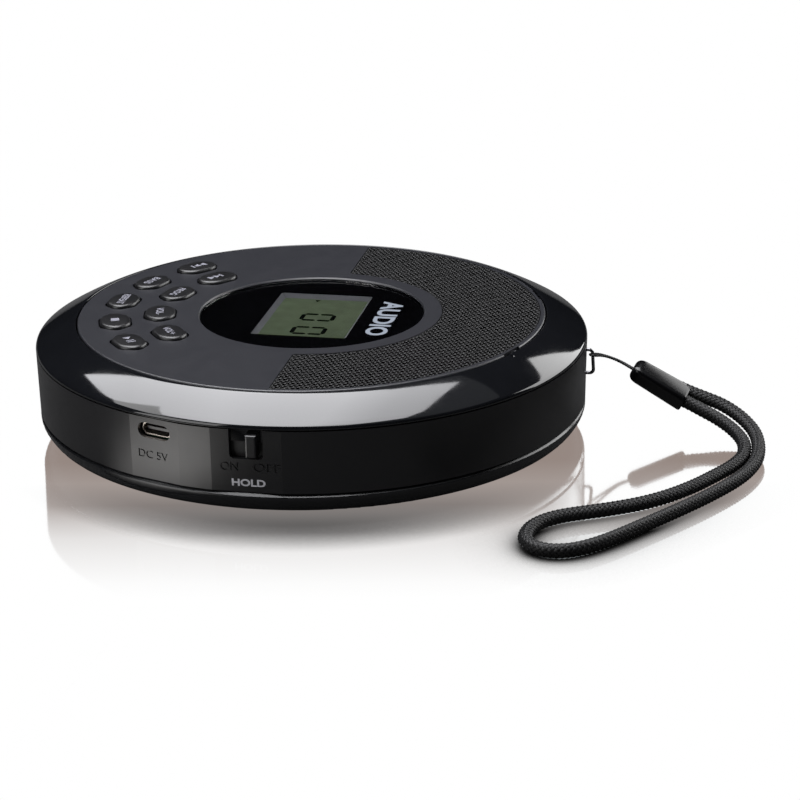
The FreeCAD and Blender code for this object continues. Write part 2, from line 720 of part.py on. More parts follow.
def make_speaker_cones():
    profile = [
        (0, 28.5), (2.6, 27.7), (7.0, 29.0), (8.7, 28.9), (8.7, 29.3), (7.0, 29.4),
        (2.6, 28.1), (0, 28.9),
    ]
    return placed(turned(profile, [0, 0.6, 0.8, 0, 0, 0.8, 0.6, 0]), speaker_spots())


def make_display_window():
    window = turned(
        [(0, WINDOW_Z - WINDOW_T), (WINDOW_R, WINDOW_Z - WINDOW_T), (WINDOW_R, WINDOW_Z), (0, WINDOW_Z)],
        [0, 0, 0.2, 0],
    )
    return window.cut(disc(0.7, 25, 35, 2.0, -WINDOW_R))


def make_display_mask():
    top = WINDOW_Z - WINDOW_T
    sheet = disc(WINDOW_R - 0.1, top - 0.2, top)
    return sheet.cut(plate(rectangle(*DISPLAY_BOX), 0.8, top - 1, top + 1))


def make_lcd_bezel():
    top = WINDOW_Z - WINDOW_T - 0.2
    x0, x1, y0, y1 = DISPLAY_BOX
    inset = 1.2
    body = disc(WINDOW_R - 0.1, LCD_TOP_Z, top)
    upper = [V(x, y, top) for x, y in rectangle(x0, x1, y0, y1)]
    lower = [V(x, y, LCD_TOP_Z) for x, y in rectangle(x0 + inset, x1 - inset, y0 + inset, y1 - inset)]
    funnel = Part.makeLoft([Part.makePolygon(lower + lower[:1]), Part.makePolygon(upper + upper[:1])], True)
    return body.cut(funnel)


def make_lcd_glass():
    x0, x1, y0, y1 = DISPLAY_BOX
    return box(x0 - 1.5, x1 + 1.5, y0 - 2.5, y1 + 2.0, BOARD_TOP_Z + 0.1, LCD_TOP_Z)


def make_button_board():
    board = fused([
        disc(31.5, BOARD_TOP_Z - 1.2, BOARD_TOP_Z),
        sector(28.0, 58.6, -150, -30, BOARD_TOP_Z - 1.2, BOARD_TOP_Z),
    ])
    return board


def make_button_mat():
    mat = sector(34.0, 58.4, -146, -34, BOARD_TOP_Z, BOARD_TOP_Z + 0.7)
    dome = turned([(0, 27.2), (3.4, 27.2), (2.6, 28.6), (0, 28.6)], [0, 0, 0.5, 0])
    pieces = [mat]
    for radius, angle in BUTTONS.values():
        spot = polar(radius, angle)
        copy = dome.copy()
        copy.translate(spot)
        pieces.append(copy)
    return fused(pieces)


def make_button():
    """One button in the middle of the circle of buttons, before it is moved out."""
    flange_top = PANEL_Z - 0.1
    flange = button_block(BUTTON_FLANGE, flange_top - 0.9, flange_top)
    cap = button_block(0.0, flange_top - 0.2, TOP_Z + BUTTON_PROUD)
    top_edges = [edge for edge in cap.Edges if edge.BoundBox.ZMin > TOP_Z + BUTTON_PROUD - 0.01]
    cap = cap.makeFillet(0.55, top_edges)
    return fused([flange, cap])


def make_open_button():
    body = side_cut(13.8, 4.2, 71.6, 1.4, OPEN_BUTTON_Z).common(disc(75.55, 10, 30))
    flange = box(71.3, 72.3, -8.0, 8.0, OPEN_BUTTON_Z - 2.9, OPEN_BUTTON_Z + 2.6)
    slider = box(60.9, 71.4, -3.4, 3.4, 21.4, 22.4)
    nose = box(60.9, 61.9, -3.0, 3.0, 22.3, 23.2)
    return turned_to(fused([body, flange, slider, nose]), -90)


# ---- strap --------------------------------------------------------------------------------
def make_bail():
    inner_end = INNER_R - 0.1
    corners = [(inner_end, BAIL_TOP_Z), (76.5, BAIL_TOP_Z), (76.9, BAIL_LOW_Z), (inner_end, BAIL_LOW_Z)]
    points = [V(radius, 0, z) for radius, z in corners]
    path = rounded_path(points, [0, 1.0, 1.0, 0], False)
    circle = Part.Wire(Part.Circle(points[0], X_AXIS, BAIL_WIRE_R).toShape())
    return turned_to(path.makePipeShell([circle], True, False), BAIL_ANGLE)


def make_bead():
    bead = Part.makeBox(BEAD_L, BEAD_W, BEAD_H, V(0, -BEAD_W / 2, -BEAD_H / 2))
    long_edges = [edge for edge in bead.Edges if edge.BoundBox.XLength > BEAD_L - 0.1]
    bead = bead.makeFillet(1.6, long_edges)
    direction = V(BEAD_DIRECTION).normalize()
    bead.rotate(ORIGIN, X_AXIS, -BEAD_ROLL)
    heading = math.degrees(math.atan2(direction.y, direction.x))
    pitch = math.degrees(math.asin(direction.z))
    bead.rotate(ORIGIN, Y_AXIS, -pitch)
    bead.rotate(ORIGIN, Z_AXIS, heading)
    bead.translate(BEAD_END)
    return bead


def write_part(name, shape):
    """Write one piece as STEP, after checking that it is closed and valid."""
    if not shape.isValid() or shape.Volume <= 0:
        print("BAD SHAPE", name)
    shape.exportStep("parts/" + name + ".step")


def main():
    os.makedirs("parts", exist_ok=True)
    parts = {
        "bottom_cover": make_bottom_cover(),
        "side_wall": make_side_wall(),
        "top_ring": make_top_ring(),
        "disc_tray": make_disc_tray(),
        "rubber_feet": make_feet(),
        "case_screws": make_case_screws(),
        "main_board": make_main_board(),
        "main_board_chips": make_board_parts(),
        "battery_pack": make_battery(),
        "headphone_jack": make_headphone_jack(),
        "side_board": make_side_board(),
        "charging_port_shell": make_port_shell(),
        "charging_port_tongue": make_port_tongue(),
        "hold_switch": make_hold_switch(),
        "hold_knob": make_hold_knob(),
        "open_button": make_open_button(),
        "mechanism_plate": make_mechanism_plate(),
        "mechanism_dampers": make_dampers(),
        "spindle_motor": make_spindle_motor(),
        "sled_motor": make_sled_motor(),
        "guide_rods": make_guide_rods(),
        "lead_screw": make_lead_screw(),
        "laser_sled": make_sled(),
        "laser_lens": make_lens(),
        "turntable": make_turntable(),
        "spindle_shaft": make_spindle_shaft(),
        "disc_clips": make_disc_clips(),
        "turntable_pad": make_table_pad(),
        "top_panel": make_top_panel(),
        "hinge_pins": make_hinge_pins(),
        "lid_inner_cover": make_inner_cover(),
        "lid_screws": make_lid_screws(),
        "speaker_grille": make_grille(),
        "speaker_frames": make_speaker_frames(),
        "speaker_magnets": make_speaker_magnets(),
        "speaker_cones": make_speaker_cones(),
        "display_window": make_display_window(),
        "display_mask": make_display_mask(),
        "lcd_bezel": make_lcd_bezel(),
        "lcd_glass": make_lcd_glass(),
        "button_board": make_button_board(),
        "button_mat": make_button_mat(),
        "strap_bail": make_bail(),
        "strap_bead": make_bead(),
        "thin_cord": cord("thin_cord", THIN_CORD_ROUTE, THIN_CORD_D),
        "wrist_loop": cord("wrist_loop", STRAP_ROUTE, STRAP_D),
    }
    button = make_button()
    for name, (radius, angle) in BUTTONS.items():
        parts[name] = at_button(button, radius, angle)
    for name, shape in parts.items():
        write_part(name, shape)
    print(len(parts), "parts")


main()
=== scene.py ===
"""Looks of the portable CD player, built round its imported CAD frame.

The player stands on z = 0 with its axis on Z. Its hold switch faces +X, the speaker grille lies over +Y
and the buttons over -Y. Shapes are worked out in millimetres and turned into metres when they become
Blender meshes.
"""

import json
import math

import bmesh
import bpy
from mathutils import Matrix, Vector


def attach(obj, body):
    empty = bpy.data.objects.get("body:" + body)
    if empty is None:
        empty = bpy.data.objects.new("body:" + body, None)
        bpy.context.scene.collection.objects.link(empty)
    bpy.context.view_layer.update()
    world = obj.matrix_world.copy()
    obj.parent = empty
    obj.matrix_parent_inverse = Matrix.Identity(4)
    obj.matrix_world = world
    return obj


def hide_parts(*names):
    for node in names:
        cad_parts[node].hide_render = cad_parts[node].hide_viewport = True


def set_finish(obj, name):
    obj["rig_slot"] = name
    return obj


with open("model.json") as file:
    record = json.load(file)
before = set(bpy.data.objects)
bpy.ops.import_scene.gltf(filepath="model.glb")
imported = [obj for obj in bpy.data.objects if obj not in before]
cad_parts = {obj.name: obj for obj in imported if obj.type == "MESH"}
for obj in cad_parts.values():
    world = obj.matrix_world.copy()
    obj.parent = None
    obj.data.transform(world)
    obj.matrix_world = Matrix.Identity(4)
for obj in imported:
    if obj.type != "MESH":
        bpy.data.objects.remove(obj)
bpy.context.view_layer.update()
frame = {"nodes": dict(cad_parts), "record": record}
NODES = frame["nodes"]
RECORD = frame["record"]

MM = 0.001
Y_AXIS = Vector((0, 1, 0))
Z_AXIS = Vector((0, 0, 1))

# The player, as in the CAD part.
BODY_R = 75.0
TOP_Z = 32.0
SEAM_Z = 25.6
SEAM_GAP = 0.3
LOWER_SEAM_Z = 8.85
WALL_DRAFT = 0.3
RING_IN_R = 64.0
LIP_R = 73.1
HINGE_Y = 59.0
HINGE_Z = 30.9
GRILLE_IN_R = 35.5
GRILLE_OUT_R = 62.3
GRILLE_Y = 3.0
GRILLE_TOP = 31.9
WINDOW_R = 30.5
WINDOW_TOP = 31.5
MASK_TOP = 30.1
LCD_TOP = 28.8
BUTTON_TOP = 32.9
PORT_ANGLE = -19.3
PORT_FACET = 5.6      # half the angle of the flat round the charging port
HOLD_FACET = 6.95     # half the angle of the flat round the hold switch
BEAD_END = Vector((-11.0, 86.9, 16.6))
BEAD_DIRECTION = Vector((0.07, 0.88, -0.47)).normalized()
BEAD_L = 16.5
BEAD_W = 7.8
BEAD_H = 5.0
BEAD_ROLL = -15.0


# ---- shapes in millimetres: a shape is a pair of lists, points and faces ----

def joined(shapes):
    points, faces = [], []
    for more_points, more_faces in shapes:
        first = len(points)
        points += list(more_points)
        faces += [[first + i for i in face] for face in more_faces]
    return points, faces


def moved(shape, matrix):
    points, faces = shape
    return [matrix @ Vector(point) for point in points], faces


def prism(outline, low, high):
    """Upright prism on an outline of (x, y) points."""
    count = len(outline)
    points = [(x, y, low) for x, y in outline] + [(x, y, high) for x, y in outline]
    faces = [list(range(count))[::-1], list(range(count, 2 * count))]
    for i in range(count):
        after = (i + 1) % count
        faces.append([i, after, count + after, count + i])
    return points, faces


def box(low, high):
    (x0, y0, z0), (x1, y1, z1) = low, high
    return prism([(x0, y0), (x1, y0), (x1, y1), (x0, y1)], z0, z1)


def circle(radius, sides):
    angles = [math.tau * k / sides for k in range(sides)]
    return [(radius * math.cos(angle), radius * math.sin(angle)) for angle in angles]


def bar(start, end, radius, sides=32):
    """Round bar between two points."""
    start, end = Vector(start), Vector(end)
    upright = prism(circle(radius, sides), 0, (end - start).length)
    turn = Z_AXIS.rotation_difference(end - start).to_matrix().to_4x4()
    return moved(upright, Matrix.Translation(start) @ turn)


def turned(profile, segments):
    """Solid of revolution round Z from a closed profile of (radius, z) points."""
    count = len(profile)
    points, faces = [], []
    for k in range(segments):
        angle = math.tau * k / segments
        c, s = math.cos(angle), math.sin(angle)
        points += [(r * c, r * s, z) for r, z in profile]
    for k in range(segments):
        here, there = k * count, (k + 1) % segments * count
        for i in range(count):
            after = (i + 1) % count
            faces.append([here + i, there + i, there + after, here + after])
    return points, faces


def fillet(corners, radii, steps=5):
    """Closed outline with its corners rounded by the given radii."""
    outline = []
    for i, radius in enumerate(radii):
        corner = Vector(corners[i])
        before = Vector(corners[i - 1]) - corner
        after = Vector(corners[(i + 1) % len(corners)]) - corner
        if radius == 0:
            outline.append(tuple(corner))
            continue
        half = before.angle(after) / 2
        reach = radius / math.tan(half)
        centre = corner + (before.normalized() + after.normalized()).normalized() * radius / math.sin(half)
        first = corner + before.normalized() * reach - centre
        last = corner + after.normalized() * reach - centre
        turn = first.angle_signed(last)
        for k in range(steps + 1):
            angle = -turn * k / steps
            c, s = math.cos(angle), math.sin(angle)
            outline.append((centre.x + first.x * c - first.y * s, centre.y + first.x * s + first.y * c))
    return outline


# ---- Blender objects ----

def add_object(name, data):
    piece = bpy.data.objects.new(name, data)
    bpy.context.scene.collection.objects.link(piece)
    return piece


def smooth(mesh, sharp_angle):
    mesh.shade_smooth()
    mesh.set_sharp_from_angle(angle=math.radians(sharp_angle))


def mesh_piece(name, shape, sharp_angle=35):
    """Closed mesh object from a shape in millimetres."""
    points, faces = shape
    mesh = bpy.data.meshes.new(name)
    mesh.from_pydata([Vector(point) * MM for point in points], [], faces)
    work = bmesh.new()
    work.from_mesh(mesh)
    bmesh.ops.recalc_face_normals(work, faces=work.faces)
    work.to_mesh(mesh)
    work.free()
    smooth(mesh, sharp_angle)
    return add_object(name, mesh)


def applied(piece):
    """Give a piece the mesh that its modifiers make, and drop the modifiers."""
    shown = piece.evaluated_get(bpy.context.evaluated_depsgraph_get())
    piece.data = bpy.data.meshes.new_from_object(shown)
    piece.modifiers.clear()


def cut(piece, shape):
    """Take a shape away from a piece."""
    tool = mesh_piece("cutter", shape)
    modifier = piece.modifiers.new("cut", "BOOLEAN")
    modifier.operation = "DIFFERENCE"
    modifier.solver = "EXACT"
    modifier.object = tool
    applied(piece)
    bpy.data.objects.remove(tool)


LETTER_EXTRUSION = 0.1      # half the thickness that a word has before it is scaled


def lettering(word, width, height, depth, weight=0.0):
    """A word as a solid, centred on the origin, read along +X with its tops towards +Y."""
    data = bpy.data.curves.new("word", "FONT")
    data.body = word
    data.extrude = LETTER_EXTRUSION
    data.offset = weight
    data.resolution_u = 4
    source = add_object("word", data)
    mesh = bpy.data.meshes.new_from_object(source)
    work = bmesh.new()
    work.from_mesh(mesh)
    bmesh.ops.remove_doubles(work, verts=work.verts, dist=1e-5)
    xs = [v.co.x for v in work.verts]
    ys = [v.co.y for v in work.verts]
    middle = Vector(((min(xs) + max(xs)) / 2, (min(ys) + max(ys)) / 2, 0))
    thickness = 2 * LETTER_EXTRUSION
    scale = Vector((width / (max(xs) - min(xs)), height / (max(ys) - min(ys)), depth / thickness))
    points = [Vector(scale * (v.co - middle)) for v in work.verts]
    faces = [[v.index for v in face.verts] for face in work.faces]
    work.free()
    bpy.data.objects.remove(source)
    bpy.data.meshes.remove(mesh)
    return points, faces


# ---- camera ----
CAMERA_PLACE = Vector((0.6168, 0.1463, 0.2391))     # metres
CAMERA_AZIMUTH = math.radians(101.2)
CAMERA_ELEVATION = math.radians(20.21)
CAMERA_ROLL = math.radians(0.74)
LENS_LENGTH = 109.9
SENSOR_WIDTH = 36.0


def add_camera():
    azimuth, elevation = CAMERA_AZIMUTH, CAMERA_ELEVATION
    ahead = Vector((
        -math.sin(azimuth) * math.cos(elevation),
        math.cos(azimuth) * math.cos(elevation),
        -math.sin(elevation),
    ))
    right = Vector((math.cos(azimuth), math.sin(azimuth), 0))
    up = right.cross(ahead)
    c, s = math.cos(CAMERA_ROLL), math.sin(CAMERA_ROLL)
    axes = Matrix((c * right - s * up, s * right + c * up, -ahead)).transposed()
    lens = bpy.data.cameras.new("camera")
    lens.lens = LENS_LENGTH
    lens.sensor_width = SENSOR_WIDTH
    lens.clip_start = 0.01
    camera = add_object("camera", lens)
    camera.matrix_world = Matrix.Translation(CAMERA_PLACE) @ axes.to_4x4()
    bpy.context.scene.camera = camera


add_camera()

# ---- cords: routes as in the CAD part ----
THIN_CORD_ROUTE = [
    (-10.3, 91.0, 14.3), (-10.6, 87.2, 16.1), (-11.4, 83.6, 17.9), (-9.3, 80.6, 19.9),
    (-6.4, 78.5, 21.3), (-4.0, 76.9, 21.9), (-5.1, 75.25, 21.9), (-7.9, 77.2, 21.3),
    (-10.2, 79.9, 19.9), (-12.3, 83.4, 17.9), (-11.45, 87.2, 16.1), (-11.1, 91.0, 14.3),
]
STRAP_ROUTE = [
    (-8.7, 98.6, 9.9), (-8.2, 102.6, 8.3), (-6.2, 106.7, 7.0), (-3.9, 110.9, 5.8),
    (0.0, 115.4, 4.3), (6.0, 118.6, 3.1), (13.4, 118.9, 2.3), (20.5, 116.3, 1.95),
    (28.1, 112.0, 1.95), (35.1, 107.9, 1.95), (42.9, 102.1, 1.95), (49.2, 95.6, 1.95),
    (54.4, 87.6, 1.95), (58.0, 80.6, 1.95), (61.2, 75.4, 1.95), (65.6, 71.5, 1.95),
    (71.0, 69.5, 1.95), (76.6, 69.6, 1.95), (81.0, 72.4, 1.95), (82.5, 77.6, 1.95),
    (80.2, 83.4, 1.95), (73.8, 89.6, 1.95), (63.2, 97.1, 1.95), (51.6, 105.2, 1.95),
    (39.7, 112.8, 1.95), (27.8, 119.1, 1.95), (17.6, 122.2, 2.2), (9.0, 122.6, 3.0),
    (0.9, 121.2, 4.2), (-5.8, 117.2, 5.8), (-10.1, 111.8, 7.6), (-11.3, 106.8, 8.9),
    (-11.9, 102.9, 10.0), (-12.3, 99.3, 11.3),
]


def spline_line(route):
    """Points in millimetres along the smooth spline of a route."""
    data = bpy.data.curves.new("route", "CURVE")
    data.dimensions = "3D"
    data.resolution_u = 24
    spline = data.splines.new("NURBS")
    spline.points.add(len(route) - 1)
    for point, place in zip(spline.points, route):
        point.co = (*(Vector(place) * MM), 1)
    spline.order_u = 3
    spline.use_endpoint_u = True
    source = add_object("route", data)
    mesh = bpy.data.meshes.new_from_object(source)
    line = [vertex.co / MM for vertex in mesh.vertices]
    bpy.data.objects.remove(source)
    bpy.data.meshes.remove(mesh)
    return line


def line_length(line):
    return sum((b - a).length for a, b in zip(line, line[1:]))


def stations(line, spacing):
    """Places at even steps along a line, each with its two cross axes, which turn as little as they can."""
    total = line_length(line)
    steps = max(2, round(total / spacing))
    places, index, walked = [], 0, 0.0
    for k in range(steps + 1):
        target = total * k / steps
        while index < len(line) - 2 and walked + (line[index + 1] - line[index]).length < target:
            walked += (line[index + 1] - line[index]).length
            index += 1
        stretch = line[index + 1] - line[index]
        places.append(line[index] + stretch * min(1.0, (target - walked) / stretch.length))
    found = []
    side = None
    for k, place in enumerate(places):
        ahead = (places[min(k + 1, steps)] - places[max(k - 1, 0)]).normalized()
        if side is None:
            side = ahead.orthogonal()
        side = (side - ahead * side.dot(ahead)).normalized()
        found.append((place, side, ahead.cross(side), total * k / steps))
    return found


def tube(rings):
    """Closed tube through rings of equal count."""
    sides = len(rings[0])
    points = [point for ring in rings for point in ring]
    faces = [list(range(sides))[::-1], list(range(len(points) - sides, len(points)))]
    for k in range(len(rings) - 1):
        here, there = k * sides, (k + 1) * sides
        for i in range(sides):
            after = (i + 1) % sides
            faces.append([here + i, here + after, there + after, there + i])
    return points, faces


def strand(found, angle_at, radius_at, half_width, half_thickness, sides):
    """One strand that winds round a line: its angle and distance from the line vary with the way along."""
    centres, outward = [], []
    for place, side, up, way in found:
        angle = angle_at(way)
        out = side * math.cos(angle) + up * math.sin(angle)
        outward.append(out)
        centres.append(place + out * radius_at(way))
    rings = []
    last = len(centres) - 1
    for k, centre in enumerate(centres):
        ahead = (centres[min(k + 1, last)] - centres[max(k - 1, 0)]).normalized()
        across = ahead.cross(outward[k]).normalized()
        out = across.cross(ahead)
        ring = []
        for i in range(sides):
            turn = math.tau * i / sides
            ring.append(centre + across * half_width * math.cos(turn) + out * half_thickness * math.sin(turn))
        rings.append(ring)
    return tube(rings)


# Thin cord: three plies laid round each other.
CORD_PLIES = 3
PLY_R = 0.19
PLY_OFFSET = 0.16
LAY_LENGTH = 2.4        # a ply goes round once in this length


def make_thin_cord(line):
    found = stations(line, 0.2)
    plies = []
    for i in range(CORD_PLIES):
        start = math.tau * i / CORD_PLIES
        plies.append(strand(
            found,
            lambda way, start=start: start + math.tau * way / LAY_LENGTH,
            lambda way: PLY_OFFSET,
            PLY_R, PLY_R, 8,
        ))
    return mesh_piece("thin_cord_strands", joined(plies), 60)


# Wrist loop: a tubular braid over a core, each strand over one and under the next.
BRAID_STRANDS = 8       # each way round
BRAID_R = 1.53
BRAID_WAVE = 0.17       # how far a strand rises and falls as it crosses the others
BRAID_TURN = 0.58       # radians a strand goes round for each millimetre along
STRAND_HALF_WIDTH = 0.42
STRAND_HALF_THICKNESS = 0.19
CORE_R = 1.25


def make_wrist_loop(line):
    crossing = math.pi / (BRAID_STRANDS * BRAID_TURN)
    found = stations(line, crossing / 2)
    parts = []
    for sense in (1, -1):
        for i in range(BRAID_STRANDS):
            start = math.tau * i / BRAID_STRANDS
            parts.append(strand(
                found,
                lambda way, start=start, sense=sense: start + sense * BRAID_TURN * way,
                lambda way, sense=sense: BRAID_R + sense * BRAID_WAVE * math.cos(math.pi * way / crossing),
                STRAND_HALF_WIDTH, STRAND_HALF_THICKNESS, 5,
            ))
    core = strand(found[::3], lambda way: 0.0, lambda way: 0.0, CORE_R, CORE_R, 16)
    return mesh_piece("wrist_loop_braid", joined([core] + parts), 70)


cord_line = spline_line(THIN_CORD_ROUTE)
strap_line = spline_line(STRAP_ROUTE)
thin_cord = make_thin_cord(cord_line)
wrist_loop = make_wrist_loop(strap_line)
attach(thin_cord, "case")
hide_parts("thin_cord")
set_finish(thin_cord, "cord_black")
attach(wrist_loop, "case")
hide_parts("wrist_loop")
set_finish(wrist_loop, "strap_braid")


# ---- bead that joins the thin cord and the wrist loop ----
BEAD_CORNER_R = 1.6
BEAD_TAPER = 0.75       # the bead's sides come in by this much towards the player
BEAD_LEVELS = [         # way along the bead, and how far its outline is drawn in there
    (0.0, 1.5), (0.12, 1.05), (0.35, 0.7), (0.75, 0.38), (1.3, 0.14), (2.0, 0.03), (2.6, 0.0),
    (BEAD_L - 0.7, 0.0), (BEAD_L - 0.35, 0.05), (BEAD_L - 0.12, 0.17), (BEAD_L, 0.4),
]


def bead_section(way, inset):
    """Rounded oblong cross-section as (across, up) points, at a place along the bead."""
    narrowed = inset + BEAD_TAPER * (1 - way / BEAD_L)
    w, h = BEAD_W / 2 - narrowed, BEAD_H / 2 - inset
    corner_r = BEAD_CORNER_R - 0.6 * inset
    return fillet([(-w, -h), (w, -h), (w, h), (-w, h)], [corner_r] * 4, 8)


def bead_matrix():
    heading = math.atan2(BEAD_DIRECTION.y, BEAD_DIRECTION.x)
    pitch = math.asin(BEAD_DIRECTION.z)
    turn = Matrix.Rotation(heading, 4, "Z") @ Matrix.Rotation(-pitch, 4, "Y")
    return Matrix.Translation(BEAD_END) @ turn @ Matrix.Rotation(-math.radians(BEAD_ROLL), 4, "X")


def make_bead():
    rings = []
    for way, inset in BEAD_LEVELS:
        rings.append([Vector((way, across, up)) for across, up in bead_section(way, inset)])
    return mesh_piece("strap_bead_rounded", moved(tube(rings), bead_matrix()), 40)


bead = make_bead()
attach(bead, "case")
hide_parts("strap_bead")
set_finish(bead, "bead_plastic")


# ---- gloss ring ----
RING_SEGMENTS = 320
RING_TILT = math.radians(26)
CROWN_INNER = math.radians(21)      # the slope's tilt at the lid
CROWN_OUTER = math.radians(31)      # its tilt at the rim
LIP_T = 1.2                         # the ring's lip stands inside the wall
LIP_LOW_Z = 23.8
COLLAR_R = 65.8                     # outside of the ring's collar round the lid
COLLAR_LOW_Z = 24.0
COLLAR_TOP_Z = 29.0
SWITCH_GAP_HALF = 9.5                # half the width of the gap in the lip for the hold switch
SWITCH_GAP_R = 66
PIN_HOLE_R = 0.85
PIN_HOLE_X = (23.8, 27.1)


def crowned_slope(start, end, steps=20):
    """Points of the arc that bulges between the ring's two upper corners, without the corners."""
    start, end = Vector(start), Vector(end)
    chord = end - start
    half = (CROWN_OUTER - CROWN_INNER) / 2
    outward = Vector((-chord.y, chord.x)).normalized()
    if outward.y < 0:
        outward = -outward
    radius = chord.length / 2 / math.sin(half)
    centre = (start + end) / 2 - outward * radius * math.cos(half)
    arc = []
    for k in range(1, steps):
        angle = half * (2 * k / steps - 1)
        along = chord.normalized()
        arc.append(tuple(centre + outward * radius * math.cos(angle) + along * radius * math.sin(angle)))
    return arc[1:-2]


def make_ring():
    bottom = SEAM_Z + SEAM_GAP / 2
    edge_z = TOP_Z - math.tan(RING_TILT) * (BODY_R - RING_IN_R)
    outer, inner = (BODY_R, edge_z), (RING_IN_R, TOP_Z)
    slope = crowned_slope(inner, outer)[::-1]
    corners = [
        (RING_IN_R, COLLAR_LOW_Z), (COLLAR_R, COLLAR_LOW_Z), (COLLAR_R, COLLAR_TOP_Z),
        (LIP_R - LIP_T, bottom - 0.2), (LIP_R - LIP_T, LIP_LOW_Z), (LIP_R, LIP_LOW_Z), (LIP_R, bottom),
        (BODY_R, bottom), outer, *slope, inner,
    ]
    radii = [0, 0, 1.0, 0, 0, 0, 0, 0.2, 1.25] + [0] * len(slope) + [0.3]
    ring = mesh_piece("top_ring_gloss", turned(fillet(corners, radii, 6), RING_SEGMENTS), 30)
    cut(ring, box((SWITCH_GAP_R, -SWITCH_GAP_HALF, 22), (LIP_R + 0.05, SWITCH_GAP_HALF, bottom)))
    for side in (-1, 1):
        ends = [(side * x, HINGE_Y, HINGE_Z) for x in PIN_HOLE_X]
        cut(ring, bar(*ends, PIN_HOLE_R, 24))
    smooth(ring.data, 30)
    return ring


ring = make_ring()
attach(ring, "case")
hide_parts("top_ring")
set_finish(ring, "gloss_shell")


# ---- side wall with its sunk and printed words ----
LETTER_DEPTH = 0.3
LETTER_WEIGHT = 0.012
PRINT_T = 0.03
FLAT_TOLERANCE = math.radians(0.4)
SUNK_WORDS = [      # word, the flat's angle and half angle, its left and right, its foot and top
    ("DC 5V", PORT_ANGLE, PORT_FACET, -5.0, 4.0, 14.55, 16.7),
    ("ON", 0, HOLD_FACET, -6.65, -2.1, 14.5, 16.8),
    ("OFF", 0, HOLD_FACET, 1.8, 8.7, 14.5, 16.8),
]


def facet_matrix(angle, half_angle, z):
    """Frame on a flat of the wall: X reads along it, Y goes up it and Z points out of it."""
    lean = math.atan(WALL_DRAFT / (SEAM_Z - LOWER_SEAM_Z))
    distance = BODY_R * math.cos(math.radians(half_angle)) - (SEAM_Z - z) * math.tan(lean)
    axes = Matrix(((0, 0, 1), (1, 0, 0), (0, 1, 0))).to_4x4()
    turn = Matrix.Rotation(math.radians(angle), 4, "Z")
    return turn @ Matrix.Translation((distance, 0, z)) @ Matrix.Rotation(lean, 4, "Y") @ axes


def on_facet(word, angle, half_angle, left, right, low, high, sink, stand, weight=0.0):
    """A word on a flat, from sink below its face to stand above it."""
    solid = lettering(word, right - left, high - low, sink + stand, weight)
    shift = Matrix.Translation(((left + right) / 2, 0, (stand - sink) / 2))
    return moved(solid, facet_matrix(angle, half_angle, (low + high) / 2) @ shift)


def sharpen_flats(mesh):
    """Keep the two flats flat in shading: their outlines are sharp edges."""
    normals = [facet_matrix(angle, 0, SEAM_Z).col[2].to_3d() for angle in (PORT_ANGLE, 0)]
    work = bmesh.new()
    work.from_mesh(mesh)
    flat = {}
    for face in work.faces:
        flat[face] = any(face.normal.length > 0 and face.normal.angle(n) < FLAT_TOLERANCE for n in normals)
    for edge in work.edges:
        if len({flat[face] for face in edge.link_faces}) == 2:
            edge.smooth = False
    work.to_mesh(mesh)
    work.free()


def make_wall():
    wall = add_object("side_wall_marked", NODES["side_wall"].data.copy())
    work = bmesh.new()
    work.from_mesh(wall.data)
    bmesh.ops.remove_doubles(work, verts=work.verts, dist=2e-6)
    work.to_mesh(wall.data)
    work.free()
    for word in SUNK_WORDS:
        cut(wall, on_facet(*word, LETTER_DEPTH, LETTER_DEPTH, LETTER_WEIGHT))
    smooth(wall.data, 30)
    sharpen_flats(wall.data)
    return wall


wall = make_wall()
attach(wall, "case")
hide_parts("side_wall")
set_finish(wall, "matte_wall")
hold_word = mesh_piece(
    "hold_word",
    on_facet("HOLD", 0, HOLD_FACET, -3.9, 4.7, 10.4, 12.35, 0.05, PRINT_T, 0.03),
)
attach(hold_word, "case")
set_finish(hold_word, "button_plastic")


# ---- speaker grille: a punched sheet over black cloth ----
HOLE_PITCH = 1.37
ROW_PITCH = HOLE_PITCH * math.sqrt(3) / 2
HOLE_R = 0.64
HOLE_LIP = 0.06         # height of the holes' widened mouths
SHEET_T = 0.4
GRILLE_GAP = 0.2        # between the sheet and the panel
GRILLE_RIM = 0.32       # the holes stay this far inside the half ring
LEAST_CELL = 0.02       # square millimetres
LEAST_HOLE = 0.12
CLOTH_TOP = 31.48
CLOTH_T = 0.08


def held_inside(x, y, margin):
    """The nearest place inside the half ring, at least a margin from its outline."""
    y = max(y, GRILLE_Y + margin)
    radius = math.hypot(x, y)
    kept = min(max(radius, GRILLE_IN_R + margin), GRILLE_OUT_R - margin)
    x, y = x * kept / radius, y * kept / radius
    if y < GRILLE_Y + margin:
        y = GRILLE_Y + margin
        x = math.copysign(math.sqrt(kept * kept - y * y), x)
    return x, y


def outline_area(outline):
    return 0.5 * sum(
        x0 * y1 - x1 * y0 for (x0, y0), (x1, y1) in zip(outline, outline[1:] + outline[:1])
    )


